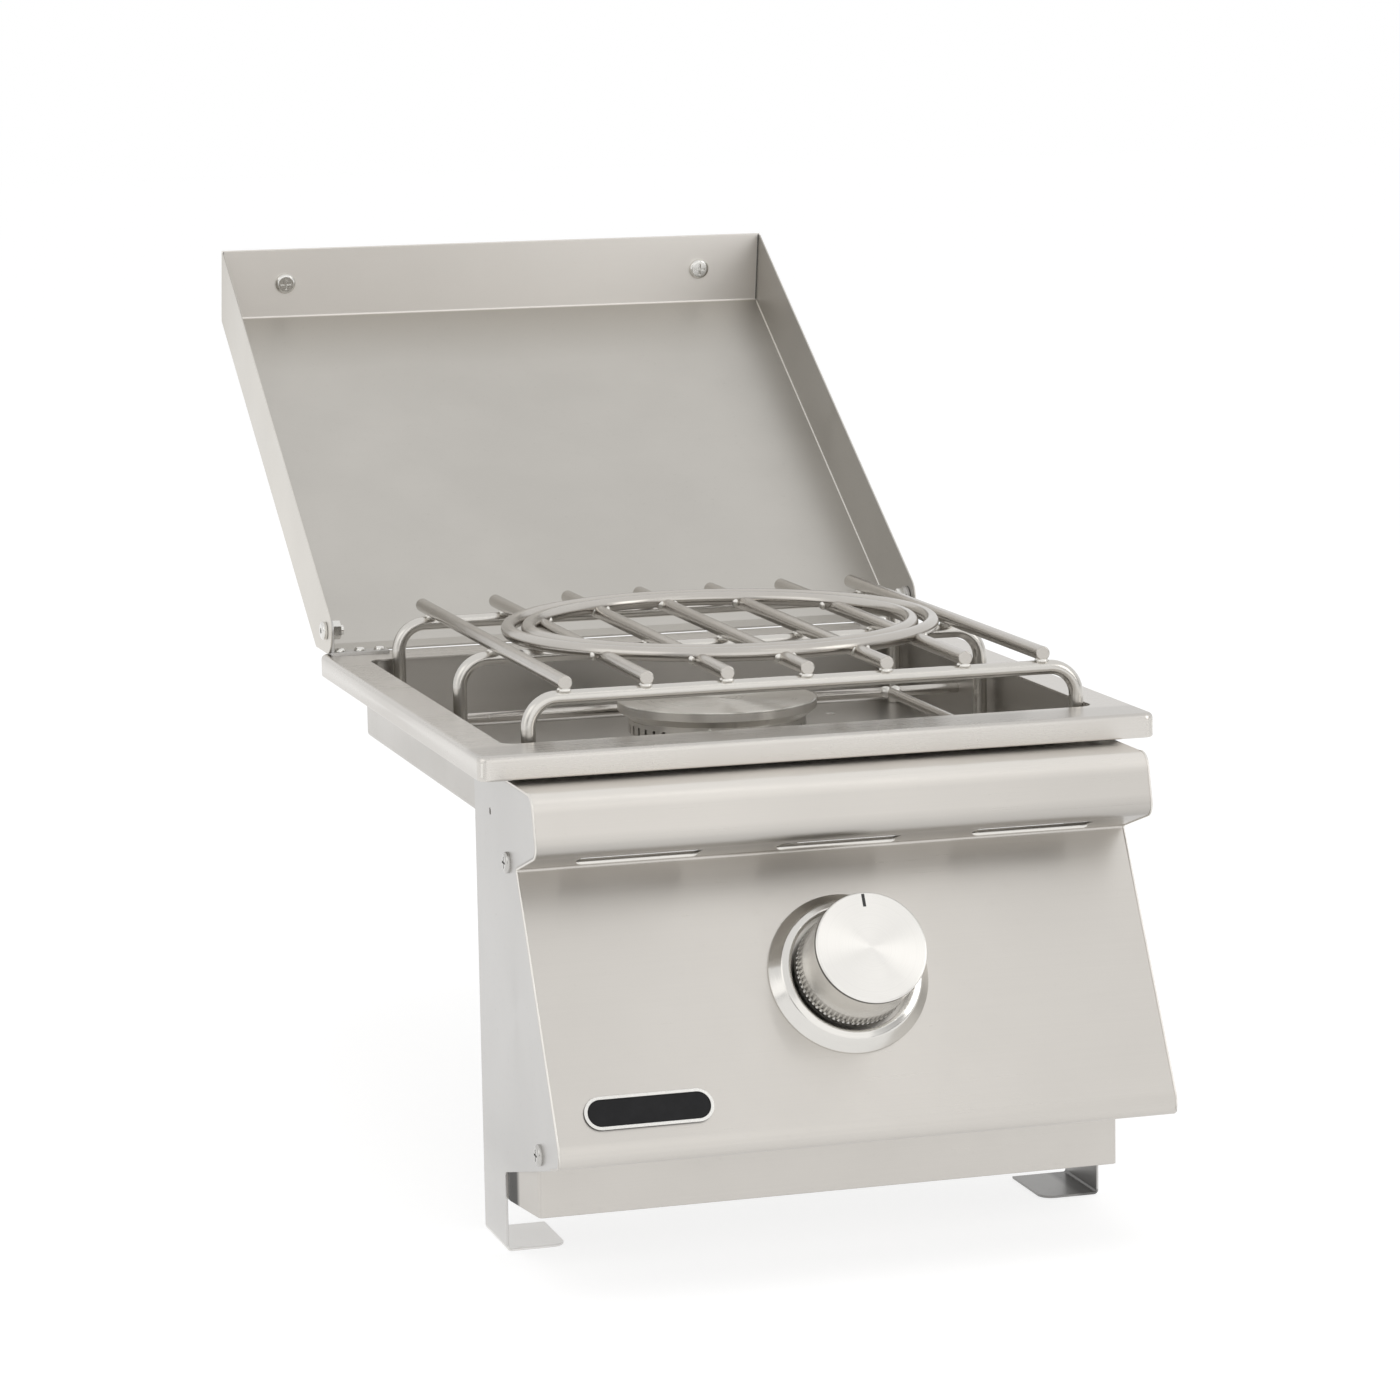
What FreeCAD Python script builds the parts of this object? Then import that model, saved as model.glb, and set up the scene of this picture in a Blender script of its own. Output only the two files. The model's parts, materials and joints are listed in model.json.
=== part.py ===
import FreeCAD, Part
import math
import os

# Built-in gas side burner for an outdoor kitchen counter, drawn with its lid open.
# All lengths are millimetres. The drawing has x = 0 in the middle, y = 0 on the rim's
# front face with y running back, and z = 0 on the rim's flat top. On export every piece
# moves by the same amount, so that the origin is the middle of the rear hem's underside.

# Rim that hangs the burner in the counter
sheet = 1.2
rim_width = 380.0
rim_depth = 404.0
rim_skirt = 13.5
rim_corner = 6.0
rim_bend = 3.0
rim_hem = 10.0
hem_bend = 1.1
hem_corner = 2.0
side_band = 22.0
front_band = 35.5
rear_band = 38.0
opening_corner = 8.0

# Burner box under the opening
box_depth = 46.0
box_side_play = 1.0
box_rear_play = 4.8
box_flange = 7.0
box_bend = 3.0
drain_hole = 3.0
drain_margin = 40.0

# Control panel: a rounded nose, a sloping underside with slots and a leaning front face
nose_drop = 2.4
nose_reach = 33.9
nose_lean = 14.0
nose_height = 31.4
nose_bend = 9.0
nose_low_bend = 7.0
soffit_rise = 18.0
lip_depth = 42.9
lip_bend = 1.5
face_lean = 29.3
face_length = 153.5
face_bend = 12.0
hem_band = 10.0
hem_band_lean = 7.1
band_bend = 6.0
return_length = 18.0
return_rise = 14.7
slot_length = 67.0
slot_width = 12.0
slot_corner = 2.0
slot_margin = 27.9
slot_back = 24.0
end_flange_edge = 12.0
play = 0.3

# Side brackets
leg_front = 41.0
leg_back = 89.0
leg_bottom = 279.0
foot_length = 33.5
foot_corner = 8.0
foot_bend = 2.6
wide_bottom = 234.8
bracket_corner = 4.0
high_screw = (17.5, -60.2)
low_screw = (-36.5, -206.2)
bracket_hole = (55.0, -39.0)
bracket_hole_radius = 2.0
screw_radius = 2.4
screw_head = 5.8
screw_head_height = 2.6
screw_reach = 4.0
screw_play = 0.3

# Apron between the legs
apron_step = 6.0
apron_front = 4.5
apron_bottom = 249.5
apron_height = 48.5
apron_slant = 36.0
apron_tail = 70.0
apron_bend = 2.6
apron_lip = 11.0

# Bare name plate on the panel
plate_length = 70.0
plate_height = 18.0
plate_thick = 1.6
plate_border = 1.7
plate_recess = 0.6
plate_margin = 16.4
plate_below_lip = 135.8

# Knob, bezel and valve, measured along the knob's axis out from the panel's surface
knob_below_lip = 71.5
knob_radius = 31.3
knob_gap = 6.0
knob_height = 46.5
knob_wall = 3.0
knob_face = 8.0
knob_ribs = 6
rib_thick = 2.0
grip_teeth = 72
grip_low = 10.0
grip_high = 20.0
grip_lip = 1.0
pointer_inset = 2.0
pointer_length = 7.0
pointer_width = 1.7
pointer_depth = 0.8
bezel_bore = 33.3
bezel_radius = 44.2
bezel_height = 9.4
bezel_edge = 1.4
bezel_slope = 5.6
bezel_crown = 1.6
push_travel = 4.0
stem_radius = 3.0
stem_flat = 1.2
stem_in = 30.0
stem_out = 34.0
stem_play = 0.05
hub_radius = 8.0
panel_hole = 9.0
collar_radius = 6.5
collar_thick = 1.5
collar_gap = 3.0
valve_seat = 12.0
valve_nose = 9.5
nose_radius = 7.5
valve_flange = 4.0
valve_barrel = 13.0
valve_depth = 50.0
outlet_boss = 8.0
outlet_radius = 7.0
inlet_depth = 36.0
inlet_boss_radius = 9.0
inlet_boss_end = 22.0
valve_screw_place = 18.5
valve_screw_radius = 2.0
valve_screw_head = 3.6
valve_screw_head_height = 2.0
valve_ear = 5.0
hat_half = 32.0
hat_foot = 13.0
hat_width = 32.0

# Gas inlet: an elbow from the valve's side to a flare end that points back
elbow_radius = 7.5
elbow_bend = 8.0
elbow_side = 38.0
elbow_run = 14.0
inlet_hex = 19.0
inlet_hex_length = 10.0
inlet_radius = 7.94
inlet_thread = 16.0
inlet_bore = 3.5

# Gas path behind the panel and under the box
tube_radius = 4.0
tube_wall = 1.0
tube_bend = 16.0
tube_socket = 6.0
tube_run = 36.0
gas_line_below = 28.0
spud_hex = 12.0
spud_length = 14.0
spud_nose = 12.0
spud_entry = 3.2
spud_bore = 0.9
mixer_radius = 15.0
mixer_wall = 1.5
mixer_reach = 88.0
mixer_bend = 20.0
shutter_wall = 1.2
shutter_length = 27.0
shutter_ahead = 11.2
shutter_window = 8.0

# Burner
burner_ahead = 3.0
cap_radius = 57.5
cap_top = 9.0
cap_edge = 5.3
cap_height = 9.5
cap_shell = 4.0
head_radius = 51.3
head_wall = 2.5
neck_radius = 17.0
neck_below = 8.0
neck_socket = 3.2
seat_radius = 30.0
seat_thick = 2.0
port_count = 44
port_width = 2.0
port_top = 22.0
port_bottom = 27.2
stay_radius = 3.0
stay_behind = 62.0
stay_margin = 42.0
stay_drop = 22.3

# Igniter electrode
spark_x = -22.0
spark_ahead = 58.5
spark_radius = 3.0
spark_top = 24.0
spark_below = 12.0
spark_wire = 0.8
spark_tip = 17.5
spark_tab_width = 14.0
spark_tab_reach = 16.0

# Grate
bar_radius = 4.0
bar_count = 7
bar_margin = 20.3
bar_front_margin = 9.5
bar_rear_reach = 15.0
grate_shift = 5.5
ring_rod_radius = 4.15
ring_margin = 6.0
ring_gap = 11.7
ring_rise = 3.0
ring_behind = 7.0
leg_rod_radius = 4.0
leg_rod_top = 21.3
leg_rod_bend = 16.0
leg_side_margin = 11.5
front_rod_inset = 3.0
rear_rod_inset = 23.0
grate_play = 0.3

# Lid, described closed and then swung open about the pivots
lid_sheet = 1.0
lid_side_margin = 3.5
lid_height = 43.5
lid_front = 28.0
lid_slope = 18.0
lid_gap = 0.5
lid_fold = 2.0
lid_rear_flange = 29.0
lid_open = 147.0
pivot_margin = 5.0
pivot_height = 14.5
handle_radius = 8.0
handle_margin = 21.5
handle_stand = 34.0
handle_overhang = 21.5
handle_post_radius = 5.0
handle_post_up = 23.3
handle_post_bore = 12.0
handle_screw_radius = 2.5
handle_screw_head = 6.8
handle_screw_head_height = 2.6
handle_screw_reach = 10.0

# Pivots at the rear corners
ear_sheet = 2.0
ear_gap = 0.4
ear_foot_width = 35.1
ear_foot_depth = 11.5
ear_foot_margin = 4.5
ear_head = 7.0
bolt_radius = 3.0
bolt_head = 5.5
bolt_head_height = 3.0
bolt_socket = 3.5
bolt_play = 0.05
bolt_gap = 0.3
nut_hex = 10.0
nut_thick = 5.0
bolt_end = 2.0
rivet_radius = 1.6
rivet_dome = 3.4
rivet_dome_height = 2.2
rivet_tail = 1.0
rivet_pitch = 12.2
rivet_margin = 5.0

# Sizes that follow from the ones above
hem_y = rim_depth - rim_hem / 2
opening_half = rim_width / 2 - side_band
opening_rear = rim_depth - rear_band
box_half = opening_half + box_side_play + sheet
box_front = front_band - sheet
box_rear = opening_rear + box_rear_play + sheet
floor_top = -box_depth + sheet
plate_outer = box_half + sheet
slot_pitch = plate_outer - slot_margin - slot_length / 2
apron_half = box_half - apron_step
plate_centre = plate_margin + plate_length / 2 - plate_outer
lean = math.radians(face_lean)

# Grate and burner, placed in the opening
leg_rod_half = opening_half - leg_side_margin
bar_pitch = 2 * (leg_rod_half - bar_margin) / (bar_count - 1)
bar_front = front_band + bar_front_margin
bar_rear = opening_rear + bar_rear_reach
front_rod = bar_front + front_rod_inset
rear_rod = bar_rear - rear_rod_inset
middle_rod = (front_rod + rear_rod) / 2
bar_height = leg_rod_top + leg_rod_radius + bar_radius
bar_places = [grate_shift + bar_pitch * (index - (bar_count - 1) / 2) for index in range(bar_count)]
ring_radius = (bar_count - 1) / 2 * bar_pitch - bar_radius - ring_rod_radius - ring_margin
ring_centre = FreeCAD.Vector(grate_shift, middle_rod + ring_behind, bar_height + ring_rise)
burner_back = middle_rod - burner_ahead
gas_line_drop = box_depth + gas_line_below
mixer_mouth = burner_back - mixer_reach
shutter_front = mixer_mouth - shutter_ahead
spud_back = shutter_front + spud_entry - spud_nose - spud_length
spark_back = burner_back - spark_ahead
stay_back = burner_back + stay_behind
stay_side = opening_half - stay_margin

# Lid, handle and pivots, placed on the rim
lid_half = rim_width / 2 - lid_side_margin
pivot_back = rim_depth - pivot_margin
handle_half = lid_half - handle_margin
handle_post_x = handle_half - handle_overhang
ear_outer = lid_half - lid_sheet - ear_gap
ear_foot_inner = ear_outer - ear_foot_width
ear_foot_back = rim_depth - ear_foot_margin
ear_foot_front = ear_foot_back - ear_foot_depth

along_x = FreeCAD.Vector(1, 0, 0)
along_y = FreeCAD.Vector(0, 1, 0)
along_z = FreeCAD.Vector(0, 0, 1)
face_down = FreeCAD.Vector(0, -math.sin(lean), -math.cos(lean))
face_out = FreeCAD.Vector(0, -math.cos(lean), math.sin(lean))


def point(x, y, z):
    return FreeCAD.Vector(x, y, z)


def direction(start, end):
    return (end - start).normalize()


# A path of straight runs whose corners are rounded by the given bend radii
def rounded_path(points, bends):
    edges = []
    start = points[0]
    for before, corner, after, bend in zip(points, points[1:], points[2:], bends):
        into = direction(before, corner)
        onward = direction(corner, after)
        turn = into.getAngle(onward)
        if bend <= 0 or turn < 1e-6:
            edges.append(Part.makeLine(start, corner))
            start = corner
            continue
        reach = bend * math.tan(turn / 2)
        first = corner - into * reach
        last = corner + onward * reach
        inward = (onward - into).normalize()
        middle = corner + inward * (bend / math.cos(turn / 2) - bend)
        if (first - start).Length > 1e-6:
            edges.append(Part.makeLine(start, first))
        edges.append(Part.Arc(first, middle, last).toShape())
        start = last
    if (points[-1] - start).Length > 1e-6:
        edges.append(Part.makeLine(start, points[-1]))
    return edges


# A flat face inside a closed outline with rounded corners
def rounded_face(points, bends):
    start = (points[0] + points[-1]) * 0.5
    return Part.Face(Part.Wire(rounded_path([start] + points + [start], bends)))


# Rounded slab with upright sides
def rounded_block(half_x, y_front, y_rear, z_low, z_high, corner):
    corners = [
        point(-half_x, y_front, z_low),
        point(half_x, y_front, z_low),
        point(half_x, y_rear, z_low),
        point(-half_x, y_rear, z_low),
    ]
    return rounded_face(corners, [corner] * 4).extrude(along_z * (z_high - z_low))


# Edges of a solid that lie at one height
def edges_at_height(solid, height):
    return [edge for edge in solid.Edges if abs(edge.BoundBox.ZMin - height) < 1e-6
            and abs(edge.BoundBox.ZMax - height) < 1e-6]


# Points of the other surface of a bent sheet, with the bend radii it has there
def sheet_side(points, bends, thickness, normal):
    runs = [direction(start, end) for start, end in zip(points, points[1:])]
    sides = [normal.cross(run) for run in runs]
    moved = [points[0] + sides[0] * thickness]
    for index in range(1, len(points) - 1):
        before = sides[index - 1]
        after = sides[index]
        moved.append(points[index] + (before + after) * (thickness / (1 + before.dot(after))))
    moved.append(points[-1] + sides[-1] * thickness)
    radii = []
    for before, after, bend in zip(runs, runs[1:], bends):
        turns_left = normal.dot(before.cross(after)) > 0
        radii.append(bend - thickness if turns_left else bend + thickness)
    return moved, radii


# Bent sheet: a path on one surface, the sheet on its left, drawn out by a vector
def bent_sheet(points, bends, thickness, normal, length):
    far, far_bends = sheet_side(points, bends, thickness, normal)
    far.reverse()
    far_bends.reverse()
    edges = rounded_path(points, bends)
    edges.append(Part.makeLine(points[-1], far[0]))
    edges += rounded_path(far, far_bends)
    edges.append(Part.makeLine(far[-1], points[0]))
    return Part.Face(Part.Wire(edges)).extrude(length)


# Turned piece: an outline of (radius, height) corners spun about an axis
def turned(corners, bends, base, axis):
    side = axis.cross(along_x)
    if side.Length < 0.1:
        side = along_y
    side.normalize()
    outline = [base + side * radius + axis * height for radius, height in corners]
    return rounded_face(outline, bends).revolve(base, axis, 360)


def cylinder(radius, start, end):
    return Part.makeCylinder(radius, (end - start).Length, start, direction(start, end))


# Round rod along a path with rounded corners
def rod(points, bends, radius):
    path = Part.Wire(rounded_path(points, bends))
    ring = Part.Wire(Part.makeCircle(radius, points[0], direction(points[0], points[1])))
    return path.makePipeShell([ring], True, False)


# Hexagon bar with a given width across flats, its first flat square to a side vector
def hexagon(width, start, end, side):
    axis = direction(start, end)
    other = axis.cross(side)
    reach = width / math.sqrt(3)
    corners = []
    for index in range(6):
        angle = math.radians(60 * index)
        corners.append(start + side * (reach * math.cos(angle)) + other * (reach * math.sin(angle)))
    corners.append(corners[0])
    return Part.Face(Part.makePolygon(corners)).extrude(end - start)


# Pan head screw with a cross recess, its head standing out along the axis
def pan_screw(seat, axis, side, shank, head, head_height, reach):
    solid = turned([(0, 0), (head, 0), (head, head_height), (0, head_height)],
                   [0, 0, head_height * 0.75, 0], seat, axis)
    solid = solid.fuse(cylinder(shank, seat, seat - axis * reach))
    other = axis.cross(side)
    top = seat + axis * head_height
    slot = head * 0.2
    for across, width in ((side, other), (other, side)):
        corner = top - across * (head * 0.55) - width * (slot / 2) - axis * (head_height * 0.45)
        corners = [corner, corner + across * (head * 1.1), corner + across * (head * 1.1) + width * slot,
                   corner + width * slot, corner]
        solid = solid.cut(Part.Face(Part.makePolygon(corners)).extrude(axis * head_height))
    return solid


def on_face(x, down, out):
    return lip + along_x * x + face_down * down + face_out * out


# Control panel outline, from the flange under the rim round to the hem
nose_top = -rim_skirt - nose_drop
nose_angle = math.radians(nose_lean)
soffit_angle = math.radians(soffit_rise)
band_angle = math.radians(hem_band_lean)
return_angle = math.radians(return_rise)
nose_upper = point(0, -nose_reach, nose_top)
nose_lower = point(0, -nose_reach - nose_height * math.tan(nose_angle), nose_top - nose_height)
lip = nose_lower + point(0, lip_depth, -lip_depth * math.tan(soffit_angle))
face_foot = lip + face_down * face_length
band_foot = face_foot + point(0, -math.sin(band_angle), -math.cos(band_angle)) * hem_band
return_run = point(0, math.cos(return_angle), -math.sin(return_angle))
return_end = band_foot + return_run * return_length
panel_rear = point(0, box_front - play, nose_top)
panel_path = [panel_rear, nose_upper, nose_lower, lip, face_foot, band_foot, return_end]
panel_bends = [nose_bend, nose_low_bend, lip_bend, face_bend, band_bend]
panel_inner, panel_inner_bends = sheet_side(panel_path, panel_bends, sheet, along_x)

# Knob axis and lid pivot
knob_base = on_face(0, knob_below_lip, 0)
pivot = point(0, pivot_back, pivot_height)
lid_open_turn = -lid_open


def knob_axis_point(out):
    return knob_base + face_out * out


def mirrored(shape):
    return shape.mirror(point(0, 0, 0), along_x)


def both_sides(shape):
    return Part.makeCompound([shape, mirrored(shape)])


# Rivet places on one pivot ear, from the inner one outwards
def rivet_places():
    y = (ear_foot_front + ear_foot_back) / 2
    first = ear_foot_inner + rivet_margin
    return [point(first + rivet_pitch * index, y, 0) for index in range(3)]


# Folded rim: a flat frame with a rounded skirt, a hem that rests on the counter and a cut opening
def make_rim():
    half = rim_width / 2
    outer = rounded_block(half, 0, rim_depth, -rim_skirt, 0, rim_corner)
    outer = outer.makeFillet(rim_bend, edges_at_height(outer, 0))
    outer = outer.makeFillet(hem_bend, edges_at_height(outer, -rim_skirt))
    inner = rounded_block(half - sheet, sheet, rim_depth - sheet, sheet - rim_skirt, -sheet,
                          rim_corner - sheet)
    inner = inner.makeFillet(rim_bend - sheet, edges_at_height(inner, -sheet))
    mouth = rounded_block(half - rim_hem, rim_hem, rim_depth - rim_hem, -rim_skirt - 1, -sheet - 1,
                          hem_corner)
    opening = rounded_block(opening_half, front_band, opening_rear, -sheet - 1, 1, opening_corner)
    rim = outer.cut(inner).cut(mouth).cut(opening)
    for place in rivet_places():
        for side in (1, -1):
            start = point(side * place.x, place.y, 1)
            rim = rim.cut(cylinder(rivet_radius, start, start - along_z * 4))
    return rim


# Shallow box with an out-turned flange under the rim and holes in its floor
def make_box():
    outer = rounded_block(box_half, box_front, box_rear, -box_depth, -sheet, opening_corner + sheet)
    outer = outer.makeFillet(box_bend, edges_at_height(outer, -box_depth))
    inner = rounded_block(box_half - sheet, box_front + sheet, box_rear - sheet, floor_top, -sheet,
                          opening_corner)
    inner = inner.makeFillet(box_bend - sheet, edges_at_height(inner, floor_top))
    flange = rounded_block(box_half + box_flange, box_front - box_flange, box_rear + box_flange,
                           -2 * sheet, -sheet, opening_corner + box_flange)
    box = outer.fuse(flange).cut(inner).removeSplitter()
    burner_hole = cylinder(neck_radius + play, point(0, burner_back, -box_depth - 1),
                           point(0, burner_back, 0))
    spark_hole = cylinder(spark_radius + play, point(spark_x, spark_back, -box_depth - 1),
                          point(spark_x, spark_back, 0))
    box = box.cut(burner_hole).cut(spark_hole)
    for side in (1, -1):
        start = point(side * opening_half * 2 / 3, box_rear - drain_margin, -box_depth - 1)
        box = box.cut(cylinder(drain_hole, start, start + along_z * (sheet + 2)))
    return box


# Side plate with its leg and inward foot, shaped on the plus side
def make_bracket():
    inner_x = box_half
    top = -2 * sheet
    low_corner = point(0, leg_front, -wide_bottom)
    leg_end = -leg_bottom + foot_bend + 1
    tail = return_end + return_run * play
    outline = [point(0, leg_back, top), point(0, box_front, top), panel_inner[0] + along_y * play]
    outline += panel_inner[1:-1]
    outline += [panel_inner[-1] + return_run * play, tail, low_corner]
    outline += [point(0, leg_front, leg_end), point(0, leg_back, leg_end)]
    bends = [0, 0, 0] + panel_inner_bends + [0, 0, bracket_corner, 0, 0]
    outline = [corner + along_x * inner_x for corner in outline]
    plate = rounded_face(outline, bends).extrude(along_x * sheet)
    foot_path = [
        point(plate_outer, leg_front, leg_end),
        point(plate_outer, leg_front, -leg_bottom),
        point(plate_outer - foot_length, leg_front, -leg_bottom),
    ]
    foot = bent_sheet(foot_path, [foot_bend], sheet, along_y, along_y * (leg_back - leg_front))
    tip = point(plate_outer - foot_length, leg_front, -leg_bottom - 1)
    corner_block = Part.makeBox(foot_corner, foot_corner, sheet + 2, tip)
    corner_round = cylinder(foot_corner, tip + point(foot_corner, foot_corner, 0),
                            tip + point(foot_corner, foot_corner, sheet + 2))
    bracket = plate.fuse(foot.cut(corner_block.cut(corner_round))).removeSplitter()
    for (y, z), radius in ((high_screw, screw_radius + screw_play), (low_screw, screw_radius + screw_play),
                           (bracket_hole, bracket_hole_radius)):
        bracket = bracket.cut(cylinder(radius, point(inner_x - 1, y, z), point(plate_outer + 1, y, z)))
    return bracket


# Folded control panel with vent slots, the stem's hole and two end flanges that take the screws
def make_panel():
    shift = along_x * -plate_outer
    path = [corner + shift for corner in panel_path]
    panel = bent_sheet(path, panel_bends, sheet, along_x, along_x * (2 * plate_outer))
    soffit = direction(nose_lower, lip)
    through = along_x.cross(soffit)
    for column in (-1, 0, 1):
        middle = lip - soffit * slot_back + along_x * (column * slot_pitch) - through
        reach = along_x * (slot_length / 2)
        half = soffit * (slot_width / 2)
        corners = [middle - reach - half, middle + reach - half, middle + reach + half,
                   middle - reach + half]
        slot = rounded_face(corners, [slot_corner] * 4).extrude(through * (sheet + 2))
        panel = panel.cut(slot)
    panel = panel.cut(cylinder(panel_hole, knob_axis_point(1), knob_axis_point(-sheet - 1)))
    flange_x = along_x * (box_half - sheet)
    high_y, high_z = high_screw
    low_y, low_z = low_screw
    edge = end_flange_edge
    outline = [
        on_face(0, edge, -sheet),
        on_face(0, face_length - edge, -sheet),
        point(0, low_y - 13, low_z + 5),
        point(0, low_y + 8, low_z - 4),
        point(0, low_y + 9, low_z + 10),
        point(0, high_y + 8, high_z - 6),
        point(0, high_y + 8, high_z + 9),
        point(0, high_y - 6, high_z + 8),
    ]
    outline = [corner + flange_x for corner in outline]
    flange = rounded_face(outline, [0, 0, 3, 3, 3, 3, 3, 3]).extrude(along_x * sheet)
    for y, z in (high_screw, low_screw):
        flange = flange.cut(cylinder(screw_radius, point(box_half - 3, y, z), point(box_half + 1, y, z)))
    return panel.fuse(flange).fuse(mirrored(flange)).removeSplitter()


# Apron: a channel whose sides slant out to the legs, with a lip turned in at the bottom
def make_apron():
    z = -apron_bottom
    path = [
        point(-box_half, apron_tail, z),
        point(-box_half, apron_slant, z),
        point(-apron_half, -apron_front, z),
    ]
    path += [point(-corner.x, corner.y, z) for corner in reversed(path)]
    bends = [apron_bend] * 4
    channel = bent_sheet(path, bends, sheet, along_z, along_z * apron_height)
    half = apron_half - sheet - play
    edge = sheet - apron_front
    corners = [point(-half, edge, z), point(half, edge, z), point(half - apron_lip, edge + apron_lip, z),
               point(apron_lip - half, edge + apron_lip, z)]
    lip_sheet = rounded_face(corners, [0, 0, 0, 0]).extrude(along_z * sheet)
    return channel.fuse(lip_sheet).removeSplitter()


# Four pan head screws in the brackets
def make_bracket_screws():
    screws = []
    for y, z in (high_screw, low_screw):
        seat = point(plate_outer, y, z)
        screws.append(pan_screw(seat, along_x, along_z, screw_radius, screw_head, screw_head_height,
                                screw_reach))
    screws += [mirrored(screw) for screw in screws]
    return Part.makeCompound(screws)


# Stadium plate with a raised border, left bare
def make_name_plate():
    def stadium(inset, low, high):
        half_x = plate_length / 2 - inset
        half_z = plate_height / 2 - inset
        corners = [on_face(plate_centre + sx * half_x, plate_below_lip + sz * half_z, low)
                   for sx, sz in ((-1, -1), (1, -1), (1, 1), (-1, 1))]
        return rounded_face(corners, [half_z - 0.01] * 4).extrude(face_out * (high - low))
    plate = stadium(0, 0, plate_thick)
    return plate.cut(stadium(plate_border, plate_thick - plate_recess, plate_thick + 1))


# Polished conical ring round the knob
def make_bezel():
    corners = [(bezel_bore, 0), (bezel_radius, 0), (bezel_radius, bezel_edge),
               (bezel_radius - bezel_slope, bezel_height - bezel_edge * 0.7),
               (bezel_bore + bezel_crown, bezel_height), (bezel_bore, bezel_height - bezel_edge)]
    return turned(corners, [0, 0, 0.6, 2.0, 0.8, 0], knob_base, face_out)


# Knob: a turned shell with a toothed grip band, a hub with a flatted bore, and ribs inside
def make_knob():
    low = knob_gap
    high = knob_height
    body = turned([(0, low), (knob_radius, low), (knob_radius - 0.2, grip_low),
                   (knob_radius - 0.8, grip_high), (knob_radius - 0.9, high), (0, high)],
                  [0, 0.8, 0, 0, 1.2, 0], knob_base, face_out)
    lip_radius = knob_radius + grip_lip
    band = turned([(knob_radius - 0.2, grip_low), (lip_radius, grip_low), (lip_radius, grip_high),
                   (knob_radius - 0.8, grip_high)], [0, 0, 0, 0], knob_base, face_out)
    depth = high - knob_face - low
    start = knob_axis_point(low)
    hollow = Part.makeCylinder(knob_radius - knob_wall, depth, start, face_out)
    hub = Part.makeCylinder(hub_radius, depth, start, face_out)
    hollow = hollow.cut(hub)
    for index in range(knob_ribs):
        rib = Part.makeBox(knob_radius * 2, rib_thick, depth, point(-knob_radius, -rib_thick / 2, 0))
        rib.Placement = FreeCAD.Placement(start, FreeCAD.Rotation(along_z, face_out)).multiply(
            FreeCAD.Placement(point(0, 0, 0), FreeCAD.Rotation(along_z, index * 180 / knob_ribs)))
        hollow = hollow.cut(rib)
    groove = 2 * math.pi * knob_radius / grip_teeth / 2
    teeth = []
    for index in range(grip_teeth):
        notch = Part.makeBox(2 * grip_lip, groove, grip_high - grip_low,
                             point(knob_radius - 0.9, -groove / 2, grip_low))
        notch.Placement = FreeCAD.Placement(knob_base, FreeCAD.Rotation(along_z, face_out)).multiply(
            FreeCAD.Placement(point(0, 0, 0), FreeCAD.Rotation(along_z, index * 360 / grip_teeth)))
        teeth.append(notch)
    knob = body.cut(hollow).cut(make_stem()).cut(make_pointer())
    return knob.cut(Part.makeCompound(teeth)).common(body.fuse(band)).removeSplitter()


# Pointer let into the knob's face near its edge
def make_pointer():
    down = pointer_inset - knob_radius
    corners = []
    for x, step in ((-pointer_width / 2, 0), (pointer_width / 2, 0), (pointer_width / 2, pointer_length),
                    (-pointer_width / 2, pointer_length)):
        base = knob_axis_point(knob_height - pointer_depth)
        corners.append(base + along_x * x + face_down * (down + step))
    return rounded_face(corners, [0, 0, 0, 0]).extrude(face_out * pointer_depth)


# Valve stem with a flat where the knob grips it
def make_stem():
    stem = cylinder(stem_radius, knob_axis_point(-stem_in), knob_axis_point(stem_out))
    corner = knob_axis_point(knob_gap) + face_down * (stem_radius - stem_flat) - along_x * stem_radius
    across = along_x * (2 * stem_radius)
    depth = face_down * (2 * stem_flat)
    corners = [corner, corner + across, corner + across + depth, corner + depth]
    flat = rounded_face(corners, [0, 0, 0, 0]).extrude(face_out * (stem_out - knob_gap))
    return stem.cut(flat)


# Collar that rides on the stem between the valve's nose and the knob
def make_collar():
    low = -collar_gap - collar_thick
    bore = stem_radius + stem_play
    return turned([(bore, low), (collar_radius, low), (collar_radius, -collar_gap), (bore, -collar_gap)],
                  [0, 0.3, 0.3, 0], knob_base, face_out)


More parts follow.
